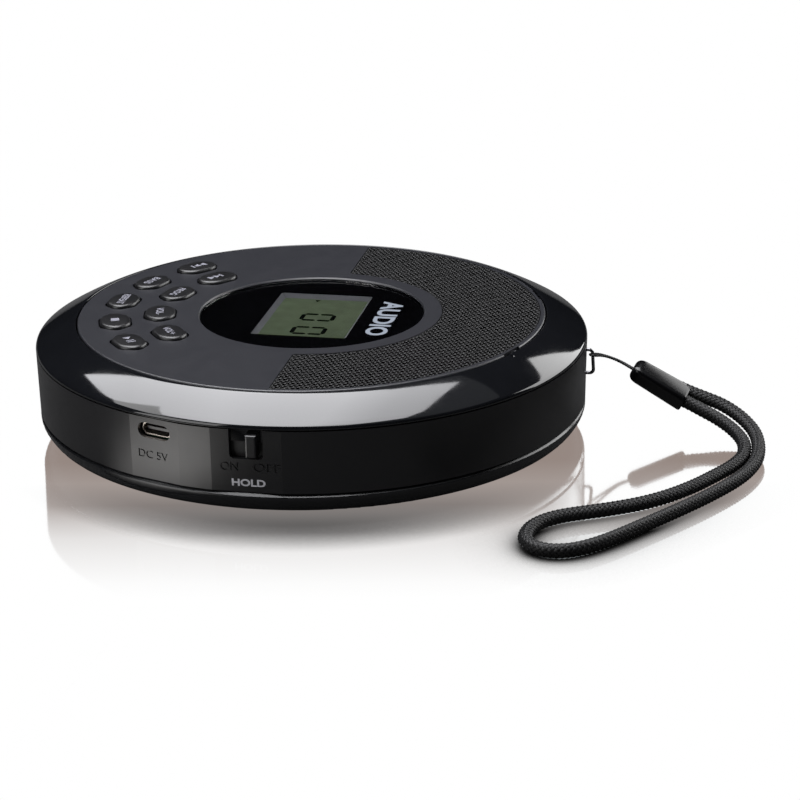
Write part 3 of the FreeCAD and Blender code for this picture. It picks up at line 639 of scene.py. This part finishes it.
class Sheet:
    """A punched sheet that is put together cell by cell, with shared points along the cells' edges."""

    def __init__(self, top, thickness):
        self.points = []
        self.faces = []
        self.edges = {}
        self.known = {}
        self.top = top
        self.bottom = top - thickness

    def add(self, x, y, z):
        self.points.append((x, y, z))
        return len(self.points) - 1

    def shared(self, x, y):
        """Numbers of the points above each other at one place of the cells' edges."""
        key = (round(x, 3), round(y, 3))
        if key not in self.known:
            self.known[key] = (self.add(x, y, self.top), self.add(x, y, self.bottom))
        return self.known[key]

    def ring(self, outline, z):
        return [self.add(x, y, z) for x, y in outline]

    def band(self, outer, inner):
        count = len(outer)
        for i in range(count):
            after = (i + 1) % count
            self.faces.append([outer[i], outer[after], inner[after], inner[i]])

    def cell(self, outline, hole):
        pairs = []
        for x, y in outline:
            pair = self.shared(x, y)
            if not pairs or pairs[-1] != pair:
                pairs.append(pair)
        upper = [pair[0] for pair in pairs]
        lower = [pair[1] for pair in pairs]
        for i, pair in enumerate(pairs):
            after = pairs[(i + 1) % len(pairs)]
            self.edges[pair, after] = True
        if hole is None or len(pairs) != len(hole[0]):
            self.faces.append(upper)
            self.faces.append(lower[::-1])
            return
        lip, waist = hole
        top = self.ring(lip, self.top)
        shoulder = self.ring(waist, self.top - HOLE_LIP)
        foot = self.ring(waist, self.bottom)
        self.band(upper, top)
        self.band(top, shoulder)
        self.band(shoulder, foot)
        self.band(foot, lower)

    def close(self):
        """Side walls along the edges that only one cell has."""
        for here, after in self.edges:
            if (after, here) not in self.edges:
                self.faces.append([here[0], here[1], after[1], after[0]])


def make_grille():
    sheet = Sheet(GRILLE_TOP, SHEET_T)
    corner_r = HOLE_PITCH / math.sqrt(3)
    lip_r, waist_r = HOLE_R + 0.04, HOLE_R - 0.02
    rows = int(GRILLE_OUT_R / ROW_PITCH) + 2
    columns = int(GRILLE_OUT_R / HOLE_PITCH) + 2
    for row in range(-rows, rows + 1):
        x = row * ROW_PITCH
        for column in range(columns):
            y = (column + 0.5 * (row % 2)) * HOLE_PITCH
            outline, lip, waist = [], [], []
            for k in range(12):
                angle = math.radians(30 * k)
                c, s = math.cos(angle), math.sin(angle)
                reach = corner_r if k % 2 == 0 else HOLE_PITCH / 2
                outline.append(held_inside(x + reach * c, y + reach * s, GRILLE_GAP))
                lip.append(held_inside(x + lip_r * c, y + lip_r * s, GRILLE_RIM))
                waist.append(held_inside(x + waist_r * c, y + waist_r * s, GRILLE_RIM + 0.03))
            if outline_area(outline) < LEAST_CELL:
                continue
            open_enough = outline_area(waist) > LEAST_HOLE
            sheet.cell(outline, (lip, waist) if open_enough else None)
    sheet.close()
    return mesh_piece("speaker_grille_punched", (sheet.points, sheet.faces), 50)


def half_ring(inset, low, high, steps=96):
    """Flat plate of the half ring's shape, smaller all round by an inset."""
    outline = []
    for radius, sense in ((GRILLE_OUT_R - inset, 1), (GRILLE_IN_R + inset, -1)):
        first = math.asin((GRILLE_Y + inset) / radius)
        for k in range(steps + 1):
            share = k / steps if sense > 0 else 1 - k / steps
            angle = first + (math.pi - 2 * first) * share
            outline.append((radius * math.cos(angle), radius * math.sin(angle)))
    return prism(outline, low, high)


grille = make_grille()
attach(grille, "lid")
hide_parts("speaker_grille")
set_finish(grille, "grille_mesh")
cloth = mesh_piece("speaker_cloth", half_ring(0.05, CLOTH_TOP - CLOTH_T, CLOTH_TOP))
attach(cloth, "lid")
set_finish(cloth, "cone_paper")


# ---- buttons ----
BUTTON_L = 14.0
BUTTON_W = 8.5
BUTTON_FLANGE = 0.9
BUTTON_POINT = 0.24     # share of the length that each slanting end takes
TIP_R = 3.2
SIDE_R = 4.8
FLANGE_LOW = 29.2
FLANGE_TOP = 30.1
CAP_LEVELS = [          # height, and how far the outline is drawn in there
    (31.9, 0.1), (32.25, 0.14), (32.5, 0.26), (32.7, 0.46), (32.84, 0.76), (BUTTON_TOP, 1.2),
]


def cap_outline(inset):
    """Long hexagon with round corners, its length along X."""
    y = BUTTON_W / 2 - inset
    slant = math.atan2(BUTTON_W / 2, BUTTON_POINT * BUTTON_L)
    x = BUTTON_L / 2 - inset / math.sin(slant)
    shoulder = x - y / math.tan(slant)
    corners = [(-x, 0), (-shoulder, -y), (shoulder, -y), (x, 0), (shoulder, y), (-shoulder, y)]
    tip_r, side_r = TIP_R - inset, SIDE_R - inset
    return fillet(corners, [tip_r, side_r, side_r, tip_r, side_r, side_r], 8)


def make_cap(body, radius, angle):
    levels = [(FLANGE_TOP - 0.2, CAP_LEVELS[0][1])] + CAP_LEVELS
    cap = tube([[Vector((x, y, z)) for x, y in cap_outline(inset)] for z, inset in levels])
    flange = prism(cap_outline(-BUTTON_FLANGE), FLANGE_LOW, FLANGE_TOP)
    turn = Matrix.Rotation(math.radians(angle + 90), 4, "Z") @ Matrix.Translation((0, -radius, 0))
    piece = mesh_piece(body + "_cap", moved(joined([cap, flange]), turn), 30)
    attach(piece, body)
    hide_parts(body)
    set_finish(piece, "button_plastic")
    return piece


# ---- marks on the buttons ----
MARK_SINK = 0.05
MARK_STAND = 0.02
OUTER_ROW_R = 53.4
INNER_ROW_R = 41.3
TRIANGLE = [(-0.95, -1.15), (0.95, 0.0), (-0.95, 1.15)]
STROKE = [(-0.26, -1.15), (0.26, -1.15), (0.26, 1.15), (-0.26, 1.15)]
SQUARE = [(-1.15, -1.1), (1.15, -1.1), (1.15, 1.1), (-1.15, 1.1)]


def sign(*outlines):
    """Flat marks set side by side: each is an outline, its place along the reading line and its sense."""
    solids = []
    for outline, place, sense in outlines:
        flat = [(place + sense * x, sense * y) for x, y in outline]
        solids.append(prism(flat, -MARK_SINK, MARK_STAND))
    return joined(solids)


def button_word(word, width, height=2.1):
    return lettering(word, width, height, MARK_SINK + MARK_STAND, 0.015)


def button_signs():
    """Each button's body with the radius of its row, its angle and its mark."""
    play = sign((TRIANGLE, -1.35, 1), (STROKE, 0.65, 1), (STROKE, 1.75, 1))
    ahead = sign((TRIANGLE, -2.0, 1), (TRIANGLE, 0.0, 1), (STROKE, 1.35, 1))
    back = sign((STROKE, -1.35, 1), (TRIANGLE, 0.0, -1), (TRIANGLE, 2.0, -1))
    return {
        "play_pause_button": (OUTER_ROW_R, -51.2, play),
        "stop_button": (OUTER_ROW_R, -70.6, sign((SQUARE, 0, 1))),
        "repeat_button": (OUTER_ROW_R, -90.0, button_word("REPEAT", 8.2)),
        "bass_boost_button": (OUTER_ROW_R, -109.4, button_word("BASS", 6.0)),
        "skip_forward_button": (OUTER_ROW_R, -128.8, ahead),
        "volume_up_button": (INNER_ROW_R, -53.5, button_word("VOL+", 6.2)),
        "volume_down_button": (INNER_ROW_R, -77.6, button_word("VOL-", 5.8)),
        "program_button": (INNER_ROW_R, -102.4, button_word("PROG", 6.4)),
        "skip_back_button": (INNER_ROW_R, -126.5, back),
    }


def make_buttons():
    """Caps and marks of all buttons."""
    caps, marks = [], []
    for body, (radius, angle, solid) in button_signs().items():
        caps.append(make_cap(body, radius, angle))
        turn = Matrix.Rotation(math.radians(angle + 90), 4, "Z")
        place = Matrix.Translation((0, -radius, BUTTON_TOP))
        # at -90 degrees the reading line is +X and the tops of the letters point at the middle
        mark = mesh_piece(body + "_mark", moved(solid, turn @ place))
        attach(mark, body)
        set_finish(mark, "button_plastic")
        marks.append(mark)
    return caps, marks


caps, marks = make_buttons()


# ---- display ----

def segment(x0, y0, x1, y1, half):
    """Bar of a digit with pointed ends."""
    along = (Vector((x1, y1)) - Vector((x0, y0))).normalized()
    across = Vector((-along.y, along.x)) * half
    tip = along * half
    a, b = Vector((x0, y0)) + tip * 0.25, Vector((x1, y1)) - tip * 0.25
    outline = [a, a + tip - across, b - tip - across, b, b - tip + across, a + tip + across]
    return [tuple(point) for point in outline]


def zero(left, right, low, high, half):
    """The six lit bars of a nought."""
    middle = (low + high) / 2
    ends = [
        (left, low, right, low), (right, low, right, middle), (right, middle, right, high),
        (right, high, left, high), (left, high, left, middle), (left, middle, left, low),
    ]
    return [segment(*place, half) for place in ends]


FLAT_EDGE = 12          # degrees: the bend from the window's face to its edge stays sharp
WINDOW_EDGE = 0.04
WINDOW_GAP = 0.02       # between the mask and the window
NOTCH_X = 2.0
NOTCH_R = 0.7
DIGIT_LOW = -3.0
DIGIT_HIGH = 5.5
DIGIT_HALF_BAR = 0.62
DIGIT_SIDES = [(-4.0, 1.0), (7.1, 12.5)]
POINTER = [(-16.4, -2.7), (-14.8, -2.0), (-16.4, -1.3)]
DIGIT_T = 0.03


def make_window():
    """Clear disc just above the mask, with a small notch in its edge."""
    levels = [
        (MASK_TOP + WINDOW_GAP, WINDOW_R), (WINDOW_TOP - WINDOW_EDGE, WINDOW_R),
        (WINDOW_TOP, WINDOW_R - WINDOW_EDGE),
    ]
    rings = [[Vector((x, y, z)) for x, y in circle(radius, 192)] for z, radius in levels]
    window = mesh_piece("display_window_notched", tube(rings), FLAT_EDGE)
    cut(window, bar((NOTCH_X, -WINDOW_R, 29), (NOTCH_X, -WINDOW_R, 33), NOTCH_R))
    smooth(window.data, FLAT_EDGE)
    return window


def make_digits():
    """Two noughts and a small pointer on the display."""
    outlines = []
    for left, right in DIGIT_SIDES:
        outlines += zero(left, right, DIGIT_LOW, DIGIT_HIGH, DIGIT_HALF_BAR)
    outlines.append(POINTER)
    solids = [prism(outline, LCD_TOP - DIGIT_T, LCD_TOP + DIGIT_T) for outline in outlines]
    return mesh_piece("display_digits", joined(solids))


window = make_window()
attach(window, "lid")
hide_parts("display_window")
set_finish(window, "window_clear")
digits = make_digits()
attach(digits, "lid")
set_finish(digits, "mask_black")
window_word = mesh_piece(
    "window_word",
    moved(lettering("AUDIO", 29.0, 6.0, 0.04, 0.03), Matrix.Translation((1.5, 20.5, WINDOW_TOP + 0.01))),
)
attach(window_word, "lid")
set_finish(window_word, "button_plastic")


# ---- materials ----

class Nodes:
    """A node tree being put together. An input is given a value, or the output that feeds it."""

    def __init__(self, tree):
        self.tree = tree

    def fill(self, node, inputs):
        for key, value in inputs.items():
            if isinstance(value, bpy.types.NodeSocket):
                self.tree.links.new(value, node.inputs[key])
            else:
                node.inputs[key].default_value = value

    def add(self, kind, output, inputs=(), **settings):
        """Add a node and return one of its outputs."""
        node = self.tree.nodes.new("ShaderNode" + kind)
        for key, value in settings.items():
            setattr(node, key, value)
        self.fill(node, dict(inputs))
        return node.outputs[output]

    def mixed(self, share, first, second):
        """The first shader, with a share of the second."""
        return self.add("MixShader", "Shader", {"Fac": share, 1: first, 2: second})

    def spread(self, source, low, high, start=0.3, end=0.7, **settings):
        """A value that goes from low to high as the source goes from start to end."""
        ends = {"From Min": start, "From Max": end, "To Min": low, "To Max": high}
        return self.add("MapRange", "Result", {"Value": source, **ends}, **settings)


FINISHES = {}       # every material made here, by the name that was asked for


class Finish(Nodes):
    """A material being put together, around its Principled shader."""

    def __init__(self, name):
        self.material = bpy.data.materials.new(name)
        FINISHES[name] = self.material
        self.material.use_nodes = True
        super().__init__(self.material.node_tree)
        self.shader = self.tree.nodes["Principled BSDF"]
        self.place = self.add("TexCoord", "Object")

    def set(self, **inputs):
        self.fill(self.shader, {key.replace("_", " "): value for key, value in inputs.items()})

    def show(self, shader):
        """Show another shader in the Principled shader's place."""
        self.tree.nodes.remove(self.shader)
        self.fill(self.tree.nodes["Material Output"], {"Surface": shader})
        return self.material

    def noise(self, feature_mm, detail=3.0, stretch=(1, 1, 1)):
        """Noise whose features are about so many millimetres across."""
        place = self.add("Mapping", "Vector", {"Scale": stretch, "Vector": self.place})
        scale = 1 / (feature_mm * MM)
        return self.add("TexNoise", "Fac", {"Scale": scale, "Detail": detail, "Vector": place})

    def colour_between(self, share, first, second):
        colours = {"A": (*first, 1), "B": (*second, 1), "Factor": share}
        self.set(Base_Color=self.add("Mix", "Result", colours, data_type="RGBA"))

    def bump(self, source, height_mm, strength=1.0):
        relief = {"Distance": height_mm * MM, "Strength": strength, "Height": source}
        self.set(Normal=self.add("Bump", "Normal", relief))


def shade(colour, factor):
    return tuple(channel * factor for channel in colour)


def plastic(name, colour, rough, grain_mm=0.3, grain_height=0.01, vary=0.12, rough_vary=0.06, **values):
    """Moulded plastic: a fine surface grain, and broad faint changes in colour and gloss."""
    finish = Finish(name)
    broad = finish.spread(finish.noise(14.0), 0, 1)
    finish.colour_between(broad, shade(colour, 1 - vary), shade(colour, 1 + vary))
    low = max(0.02, rough - rough_vary)
    finish.set(Roughness=finish.spread(finish.noise(5.0), low, rough + rough_vary))
    if grain_height:
        finish.bump(finish.noise(grain_mm, 2.0), grain_height)
    finish.set(**values)
    return finish.material


def metal(name, colour, rough, stretch=(1, 1, 8), grain_mm=0.6):
    """Metal with drawn or ground lines."""
    finish = Finish(name)
    lines = finish.noise(grain_mm, 4.0, stretch)
    finish.colour_between(finish.spread(lines, 0, 1), shade(colour, 0.86), shade(colour, 1.08))
    finish.bump(lines, 0.004, 0.5)
    finish.set(Metallic=1.0, Roughness=finish.spread(lines, rough * 0.75, rough * 1.3))
    return finish.material


def yarn(name, colour, glint_fleck):
    """Spun filaments on a dark ground, with fine lighter flecks painted on as glints."""
    finish = Finish(name)
    fibre_glint_noise = finish.noise(0.10, 2.0)
    # painted highlights: the lighter flecks of colour stand in for glints on the threads
    finish.colour_between(finish.spread(fibre_glint_noise, 0, 1, 0.42, 0.72), colour, glint_fleck)
    finish.bump(fibre_glint_noise, 0.03)
    finish.set(Roughness=0.5, Specular_IOR_Level=0.28)
    return finish.material


WINDOW_IOR = 1.49
WINDOW_COATING = 0.3    # the share of a bare sheet's mirror image that the window's coating leaves
WINDOW_TINT = (0.90, 0.92, 0.93, 1)


def window_plastic(name):
    """Coated clear sheet that bends light. Scattered light passes it unbent, which keeps it clean."""
    finish = Finish(name)
    bent = finish.add("BsdfRefraction", "BSDF", {"IOR": WINDOW_IOR, "Roughness": 0})
    uneven = finish.spread(finish.noise(9.0), 0.92, 1.0)
    mirrored = finish.add("BsdfGlossy", "BSDF", {"Roughness": 0, "Color": uneven})
    fresnel = finish.add("Fresnel", "Fac", {"IOR": WINDOW_IOR})
    share = finish.add("Math", "Value", {0: fresnel, 1: WINDOW_COATING}, operation="MULTIPLY")
    clear = finish.add("BsdfTransparent", "BSDF", {"Color": WINDOW_TINT})
    shadow = finish.add("LightPath", "Is Shadow Ray")
    scattered = finish.add("LightPath", "Is Diffuse Ray")
    unbent = finish.add("Math", "Value", {0: shadow, 1: scattered}, operation="MAXIMUM")
    return finish.show(finish.mixed(unbent, finish.mixed(share, bent, mirrored), clear))


def punched_sheet(name, colour, inside):
    """Painted sheet with painted shade in its holes: below the holes' mouths its colour turns near black and
    its gloss fades out.
    """
    finish = Finish(name)
    height = finish.add("SeparateXYZ", "Z", {"Vector": finish.place})
    # painted shade: the hole walls below the mouths get the near-black colour and lose their gloss, darkened
    # as shade would darken them
    edge = (GRILLE_TOP - HOLE_LIP) * MM, (GRILLE_TOP - HOLE_LIP / 2) * MM
    finish.colour_between(finish.spread(height, 0, 1, *edge), inside, colour)
    finish.bump(finish.noise(0.15), 0.004)
    finish.set(
        Specular_IOR_Level=finish.spread(height, 0.0, 0.45, *edge),
        Roughness=finish.spread(finish.noise(0.4), 0.3, 0.4),
    )
    return finish.material


def ink(name, colour):
    finish = Finish(name)
    finish.colour_between(finish.spread(finish.noise(0.4), 0, 1), shade(colour, 0.9), colour)
    finish.set(Roughness=0.5)
    finish.bump(finish.noise(0.2), 0.004)
    return finish.material


def make_finishes():
    """Make a material for each of the record's slots, with the slot's name."""
    plastic("gloss_shell", (0.0040, 0.0043, 0.0052), 0.06, 1.5, 0.0, 0.1, 0.015, IOR=1.52)
    plastic("matte_wall", (0.0034, 0.0034, 0.0040), 0.34, 0.28, 0.012, 0.06, 0.02)
    plastic("satin_panel", (0.0110, 0.0115, 0.0145), 0.38, 0.25, 0.012, 0.02, 0.015)
    plastic("button_plastic", (0.0050, 0.0050, 0.0056), 0.34, 0.2, 0.006, 0.08, 0.03)
    plastic("switch_plastic", (0.0070, 0.0070, 0.0078), 0.34, 0.25, 0.008)
    plastic("inner_plastic", (0.012, 0.012, 0.013), 0.5, 0.35, 0.015)
    plastic("jack_plastic", (0.006, 0.006, 0.007), 0.25, 0.3, 0.004)
    punched_sheet("grille_mesh", (0.016, 0.016, 0.0165), (0.0004, 0.0004, 0.0004))
    window_plastic("window_clear")
    plastic("mask_black", (0.0010, 0.0010, 0.0012), 0.6, 0.5, 0.0, Specular_IOR_Level=0.0)
    plastic("bezel_grey", (0.042, 0.042, 0.045), 0.6, 0.4, 0.006, Specular_IOR_Level=0.1)
    plastic("lcd_olive", (0.024, 0.031, 0.017), 0.5, 0.3, 0.0, 0.06, Specular_IOR_Level=0.05)
    plastic("circuit_board", (0.010, 0.055, 0.024), 0.35, 0.8, 0.02, 0.3)
    plastic("chip_black", (0.010, 0.010, 0.010), 0.45, 0.15, 0.01)
    plastic("battery_wrap", (0.02, 0.04, 0.12), 0.3, 2.0, 0.02)
    metal("steel", (0.42, 0.42, 0.44), 0.32)
    metal("polished_steel", (0.55, 0.55, 0.57), 0.16)
    metal("port_steel", (0.80, 0.72, 0.64), 0.34)
    metal("bail_wire", (0.20, 0.20, 0.21), 0.2)
    metal("sled_metal", (0.40, 0.41, 0.43), 0.42, (1, 1, 1), 0.4)
    plastic("lens_glass", (0.02, 0.025, 0.06), 0.04, 1.0, 0.0, 0.1, 0.01)
    metal("magnet_dark", (0.06, 0.06, 0.07), 0.35)
    plastic("cone_paper", (0.0035, 0.0035, 0.0035), 0.9, 0.25, 0.04, Specular_IOR_Level=0.1)
    plastic("rubber", (0.008, 0.008, 0.0085), 0.75, 0.5, 0.02)
    plastic("bead_plastic", (0.0018, 0.0018, 0.0021), 0.19, 0.3, 0.002, 0.1, 0.02, Specular_IOR_Level=0.35)
    yarn("cord_black", (0.0025, 0.0025, 0.0028), (0.008, 0.008, 0.0085))
    yarn("strap_braid", (0.0016, 0.0016, 0.0018), (0.0060, 0.0060, 0.0064))


def dress(piece, material):
    piece.data.materials.clear()
    piece.data.materials.append(material)


def dress_all():
    """Give every CAD node its slot's finish or its own, and every new piece its finish."""
    make_finishes()
    own = {
        "bottom_cover": plastic("satin_shell", (0.0045, 0.0047, 0.0055), 0.24, 0.6, 0.004, 0.1, 0.03),
        "hinge_pins": FINISHES["magnet_dark"],
    }
    for entry in RECORD["subparts"]:
        node = entry["node"]
        for slot in NODES[node].material_slots:
            slot.material = own.get(node, FINISHES[entry["material_slot"]])
    for piece in (thin_cord, wrist_loop, bead, ring, wall, grille, cloth, window, digits, *caps):
        dress(piece, FINISHES[piece["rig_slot"]])
    mark_ink = ink("mark_ink", (0.175, 0.175, 0.205))
    for mark in marks:
        dress(mark, mark_ink)
    dress(window_word, ink("word_ink", (0.15, 0.17, 0.20)))
    dress(hold_word, ink("hold_ink", (0.42, 0.42, 0.45)))


dress_all()


# ---- studio, in metres: a white floor, soft lights, and a white surround that only the floor mirrors
FLOOR_R = 6.0
FLOOR_Z = -0.0001
DOME_R = 3.0
CARD_R = 1.2
SOFTBOX_HEIGHT = 1.0
SOFTBOX_STRENGTH = 10.4
SOFTBOX_OUTLINE = [(-0.68, 0.295), (0.5, 0.295), (0.5, -0.4), (-0.95, -1.13), (-0.62, -0.60), (-0.50, 0.10)]
SOFTBOX_FADE = [    # place along Y, and the share of the strength there
    (-1.13, 0.60), (-0.75, 0.71), (-0.55, 0.83), (-0.35, 0.98), (0.0, 0.97), (0.16, 0.72), (0.295, 0.62),
]
SPOT_PLACE = (0.106, -0.052, 0.0005)
SPOT_R = 0.044
SPOT_STRENGTH = 4.2
WHITE = (1, 1, 1)
COOL_WHITE = (0.97, 0.97, 1.0)
WARM_WHITE = (1, 0.98, 0.96)
SKY_COLOUR = (0.93, 0.96, 1.0, 1)
SKY_LOW = 0.03          # light from the horizon
SKY_HIGH = 0.25         # light from overhead

# The floor's mirror image fades from behind the player to in front of it: places along this level axis
# with the share of light that the floor mirrors there.
MIRROR_AXIS = (0.985, 0.174, 0)
MIRROR_FADE = [
    (0.030, 0.70), (0.060, 0.58), (0.072, 0.36), (0.081, 0.22), (0.090, 0.145), (0.099, 0.085),
    (0.108, 0.025), (0.116, 0.0),
]
MIRROR_TINT = (1, 1.08, 1.115)
MIRROR_ROUGH = 0.06
MIRROR_FACING = (0.3, 0.5)      # the floor mirrors nothing seen from above 44 degrees, and fully below 30
SHADE_FADE = (0.045, 0.078)     # the shade at the player's foot sets in between these places
SHADE_REACH = 0.017
SHADE_POWER = 3.5


def studio_piece(name, points, faces, material, camera_sees=False, casts_shadow=False):
    """Mesh that belongs to the studio and not to the player."""
    mesh = bpy.data.meshes.new(name)
    mesh.from_pydata(points, [], faces)
    mesh.materials.append(material)
    piece = add_object(name, mesh)
    piece.visible_camera = camera_sees
    piece.visible_shadow = casts_shadow
    return piece


def disc(radius, sides):
    """Points and face of a flat round sheet."""
    return [(x, y, 0) for x, y in circle(radius, sides)], [list(range(sides))]


def ramp_along(nodes, axis, stops):
    """Colours that follow the way along an axis of the object: each stop is a place and its colour."""
    start, end = stops[0][0], stops[-1][0]
    place = nodes.add("TexCoord", "Object")
    along = nodes.add("VectorMath", "Value", {0: place, 1: axis}, operation="DOT_PRODUCT")
    colour = nodes.add("ValToRGB", "Color", {"Fac": nodes.spread(along, 0, 1, start, end)})
    elements = colour.node.color_ramp.elements
    while len(elements) < len(stops):
        elements.new(0.5)
    for element, (position, shown) in zip(elements, stops):
        element.position = (position - start) / (end - start)
        element.color = (*shown, 1)
    return colour


def glowing(name, colour, strength):
    finish = Finish(name)
    return finish.show(finish.add("Emission", "Emission", {"Color": (*colour, 1), "Strength": strength}))


def softbox_material():
    """Light that fades along Y."""
    finish = Finish("softbox")
    stops = [(place, shade(COOL_WHITE, share)) for place, share in SOFTBOX_FADE]
    colour = ramp_along(finish, Y_AXIS, stops)
    return finish.show(finish.add("Emission", "Emission", {"Color": colour, "Strength": SOFTBOX_STRENGTH}))


def spot_material():
    """A pool of light that fades outwards and shines only upwards."""
    finish = Finish("floor_spot")
    away = finish.add("VectorMath", "Value", {0: finish.place}, operation="LENGTH")
    fade = finish.spread(away, SPOT_STRENGTH, 0, 0.3 * SPOT_R, SPOT_R, interpolation_type="SMOOTHSTEP")
    glow = finish.add("Emission", "Emission", {"Color": (*WARM_WHITE, 1), "Strength": fade})
    underside = finish.add("NewGeometry", "Backfacing")
    return finish.show(finish.mixed(underside, glow, finish.add("BsdfTransparent", "BSDF")))


def floor_material():
    """White floor that mirrors the player, less and less towards the front, and is shaded at its foot."""
    finish = Finish("floor")
    fade = ramp_along(finish, MIRROR_AXIS, [
        (place, tuple(share * tint for tint in MIRROR_TINT)) for place, share in MIRROR_FADE
    ])
    slant = finish.spread(finish.add("LayerWeight", "Facing"), 0, 1, *MIRROR_FACING)
    mirrored = finish.add("VectorMath", "Vector", {0: fade, 1: slant}, operation="MULTIPLY")
    rest = finish.add("Invert", "Color", {"Color": mirrored})
    in_front = ramp_along(finish, MIRROR_AXIS, [(SHADE_FADE[0], (0, 0, 0)), (SHADE_FADE[1], WHITE)])
    open_sky = finish.add("AmbientOcclusion", "AO", {"Distance": SHADE_REACH}, samples=8)
    light = finish.add("Math", "Value", {0: open_sky, 1: SHADE_POWER}, operation="POWER")
    foot = finish.add("VectorMath", "Vector", {0: rest, 1: light}, operation="MULTIPLY")
    colour = finish.add("Mix", "Result", {"Factor": in_front, "A": rest, "B": foot}, data_type="RGBA")
    glow = finish.add("Emission", "Emission", {"Color": colour})
    mirror = finish.add("BsdfGlossy", "BSDF", {"Roughness": MIRROR_ROUGH, "Color": mirrored})
    seen = finish.add("AddShader", "Shader", {0: glow, 1: mirror})
    unseen = finish.add("BsdfDiffuse", "BSDF", {"Color": (0.05, 0.05, 0.05, 1)})
    return finish.show(finish.mixed(finish.add("LightPath", "Is Camera Ray"), unseen, seen))


def sky_point(azimuth, elevation, radius):
    azimuth, elevation = math.radians(azimuth), math.radians(elevation)
    return (
        radius * math.cos(elevation) * math.cos(azimuth),
        radius * math.cos(elevation) * math.sin(azimuth),
        radius * math.sin(elevation),
    )


def sky_card(name, azimuths, elevations, strength):
    """A card that fills a range of directions round the player."""
    (a0, a1), (e0, e1) = azimuths, elevations
    corners = [sky_point(a, e, CARD_R) for a, e in ((a0, e0), (a1, e0), (a1, e1), (a0, e1))]
    studio_piece(name, corners, [list(range(4))], glowing(name, WHITE, strength), casts_shadow=True)


def add_lights():
    corners = [(x, y, SOFTBOX_HEIGHT) for x, y in SOFTBOX_OUTLINE]
    studio_piece("softbox", corners, [list(range(len(corners)))], softbox_material(), casts_shadow=True)
    sky_card("back_right_card", (110, 158.5), (8, 36), 4.5)
    sky_card("front_left_card", (-60, -24), (3, 40), 3.0)
    sky_card("left_card", (-115, -72), (46, 60), 3.5)
    spot = studio_piece("floor_spot", *disc(SPOT_R, 48), spot_material())
    spot.location = SPOT_PLACE


def add_world():
    """Dim at the horizon and brighter overhead for the player, white for the camera."""
    world = bpy.data.worlds.new("world")
    bpy.context.scene.world = world
    world.use_nodes = True
    nodes = Nodes(world.node_tree)
    height = nodes.add("SeparateXYZ", "Z", {"Vector": nodes.add("TexCoord", "Generated")})
    light = {"Color": SKY_COLOUR, "Strength": nodes.spread(height, SKY_LOW, SKY_HIGH, 0, 1)}
    dim = nodes.add("Background", "Background", light)
    white = nodes.add("Background", "Background", {"Color": (*WHITE, 1)})
    shown = nodes.mixed(nodes.add("LightPath", "Is Camera Ray"), dim, white)
    nodes.fill(world.node_tree.nodes["World Output"], {"Surface": shown})


def add_floor():
    floor = studio_piece("floor", *disc(FLOOR_R, 64), floor_material(), True, True)
    floor.location.z = FLOOR_Z
    return floor


def add_surround(floor):
    """A white band round the scene that lights only the floor, so that the floor mirrors white."""
    sides = 64
    elevations = (-1, 10, 20, 30, 40, 50)
    points = [sky_point(360 * k / sides, elevation, DOME_R) for elevation in elevations for k in range(sides)]
    faces = []
    for row in range(len(elevations) - 1):
        low, high = row * sides, (row + 1) * sides
        for k in range(sides):
            after = (k + 1) % sides
            faces.append([low + k, low + after, high + after, high + k])
    dome = studio_piece("surround", points, faces, glowing("surround", WHITE, 1.0))
    lit = bpy.data.collections.new("lit_by_surround")
    lit.objects.link(floor)
    dome.light_linking.receiver_collection = lit


add_lights()
add_world()
add_surround(add_floor())
bpy.context.scene.view_settings.view_transform = "Standard"
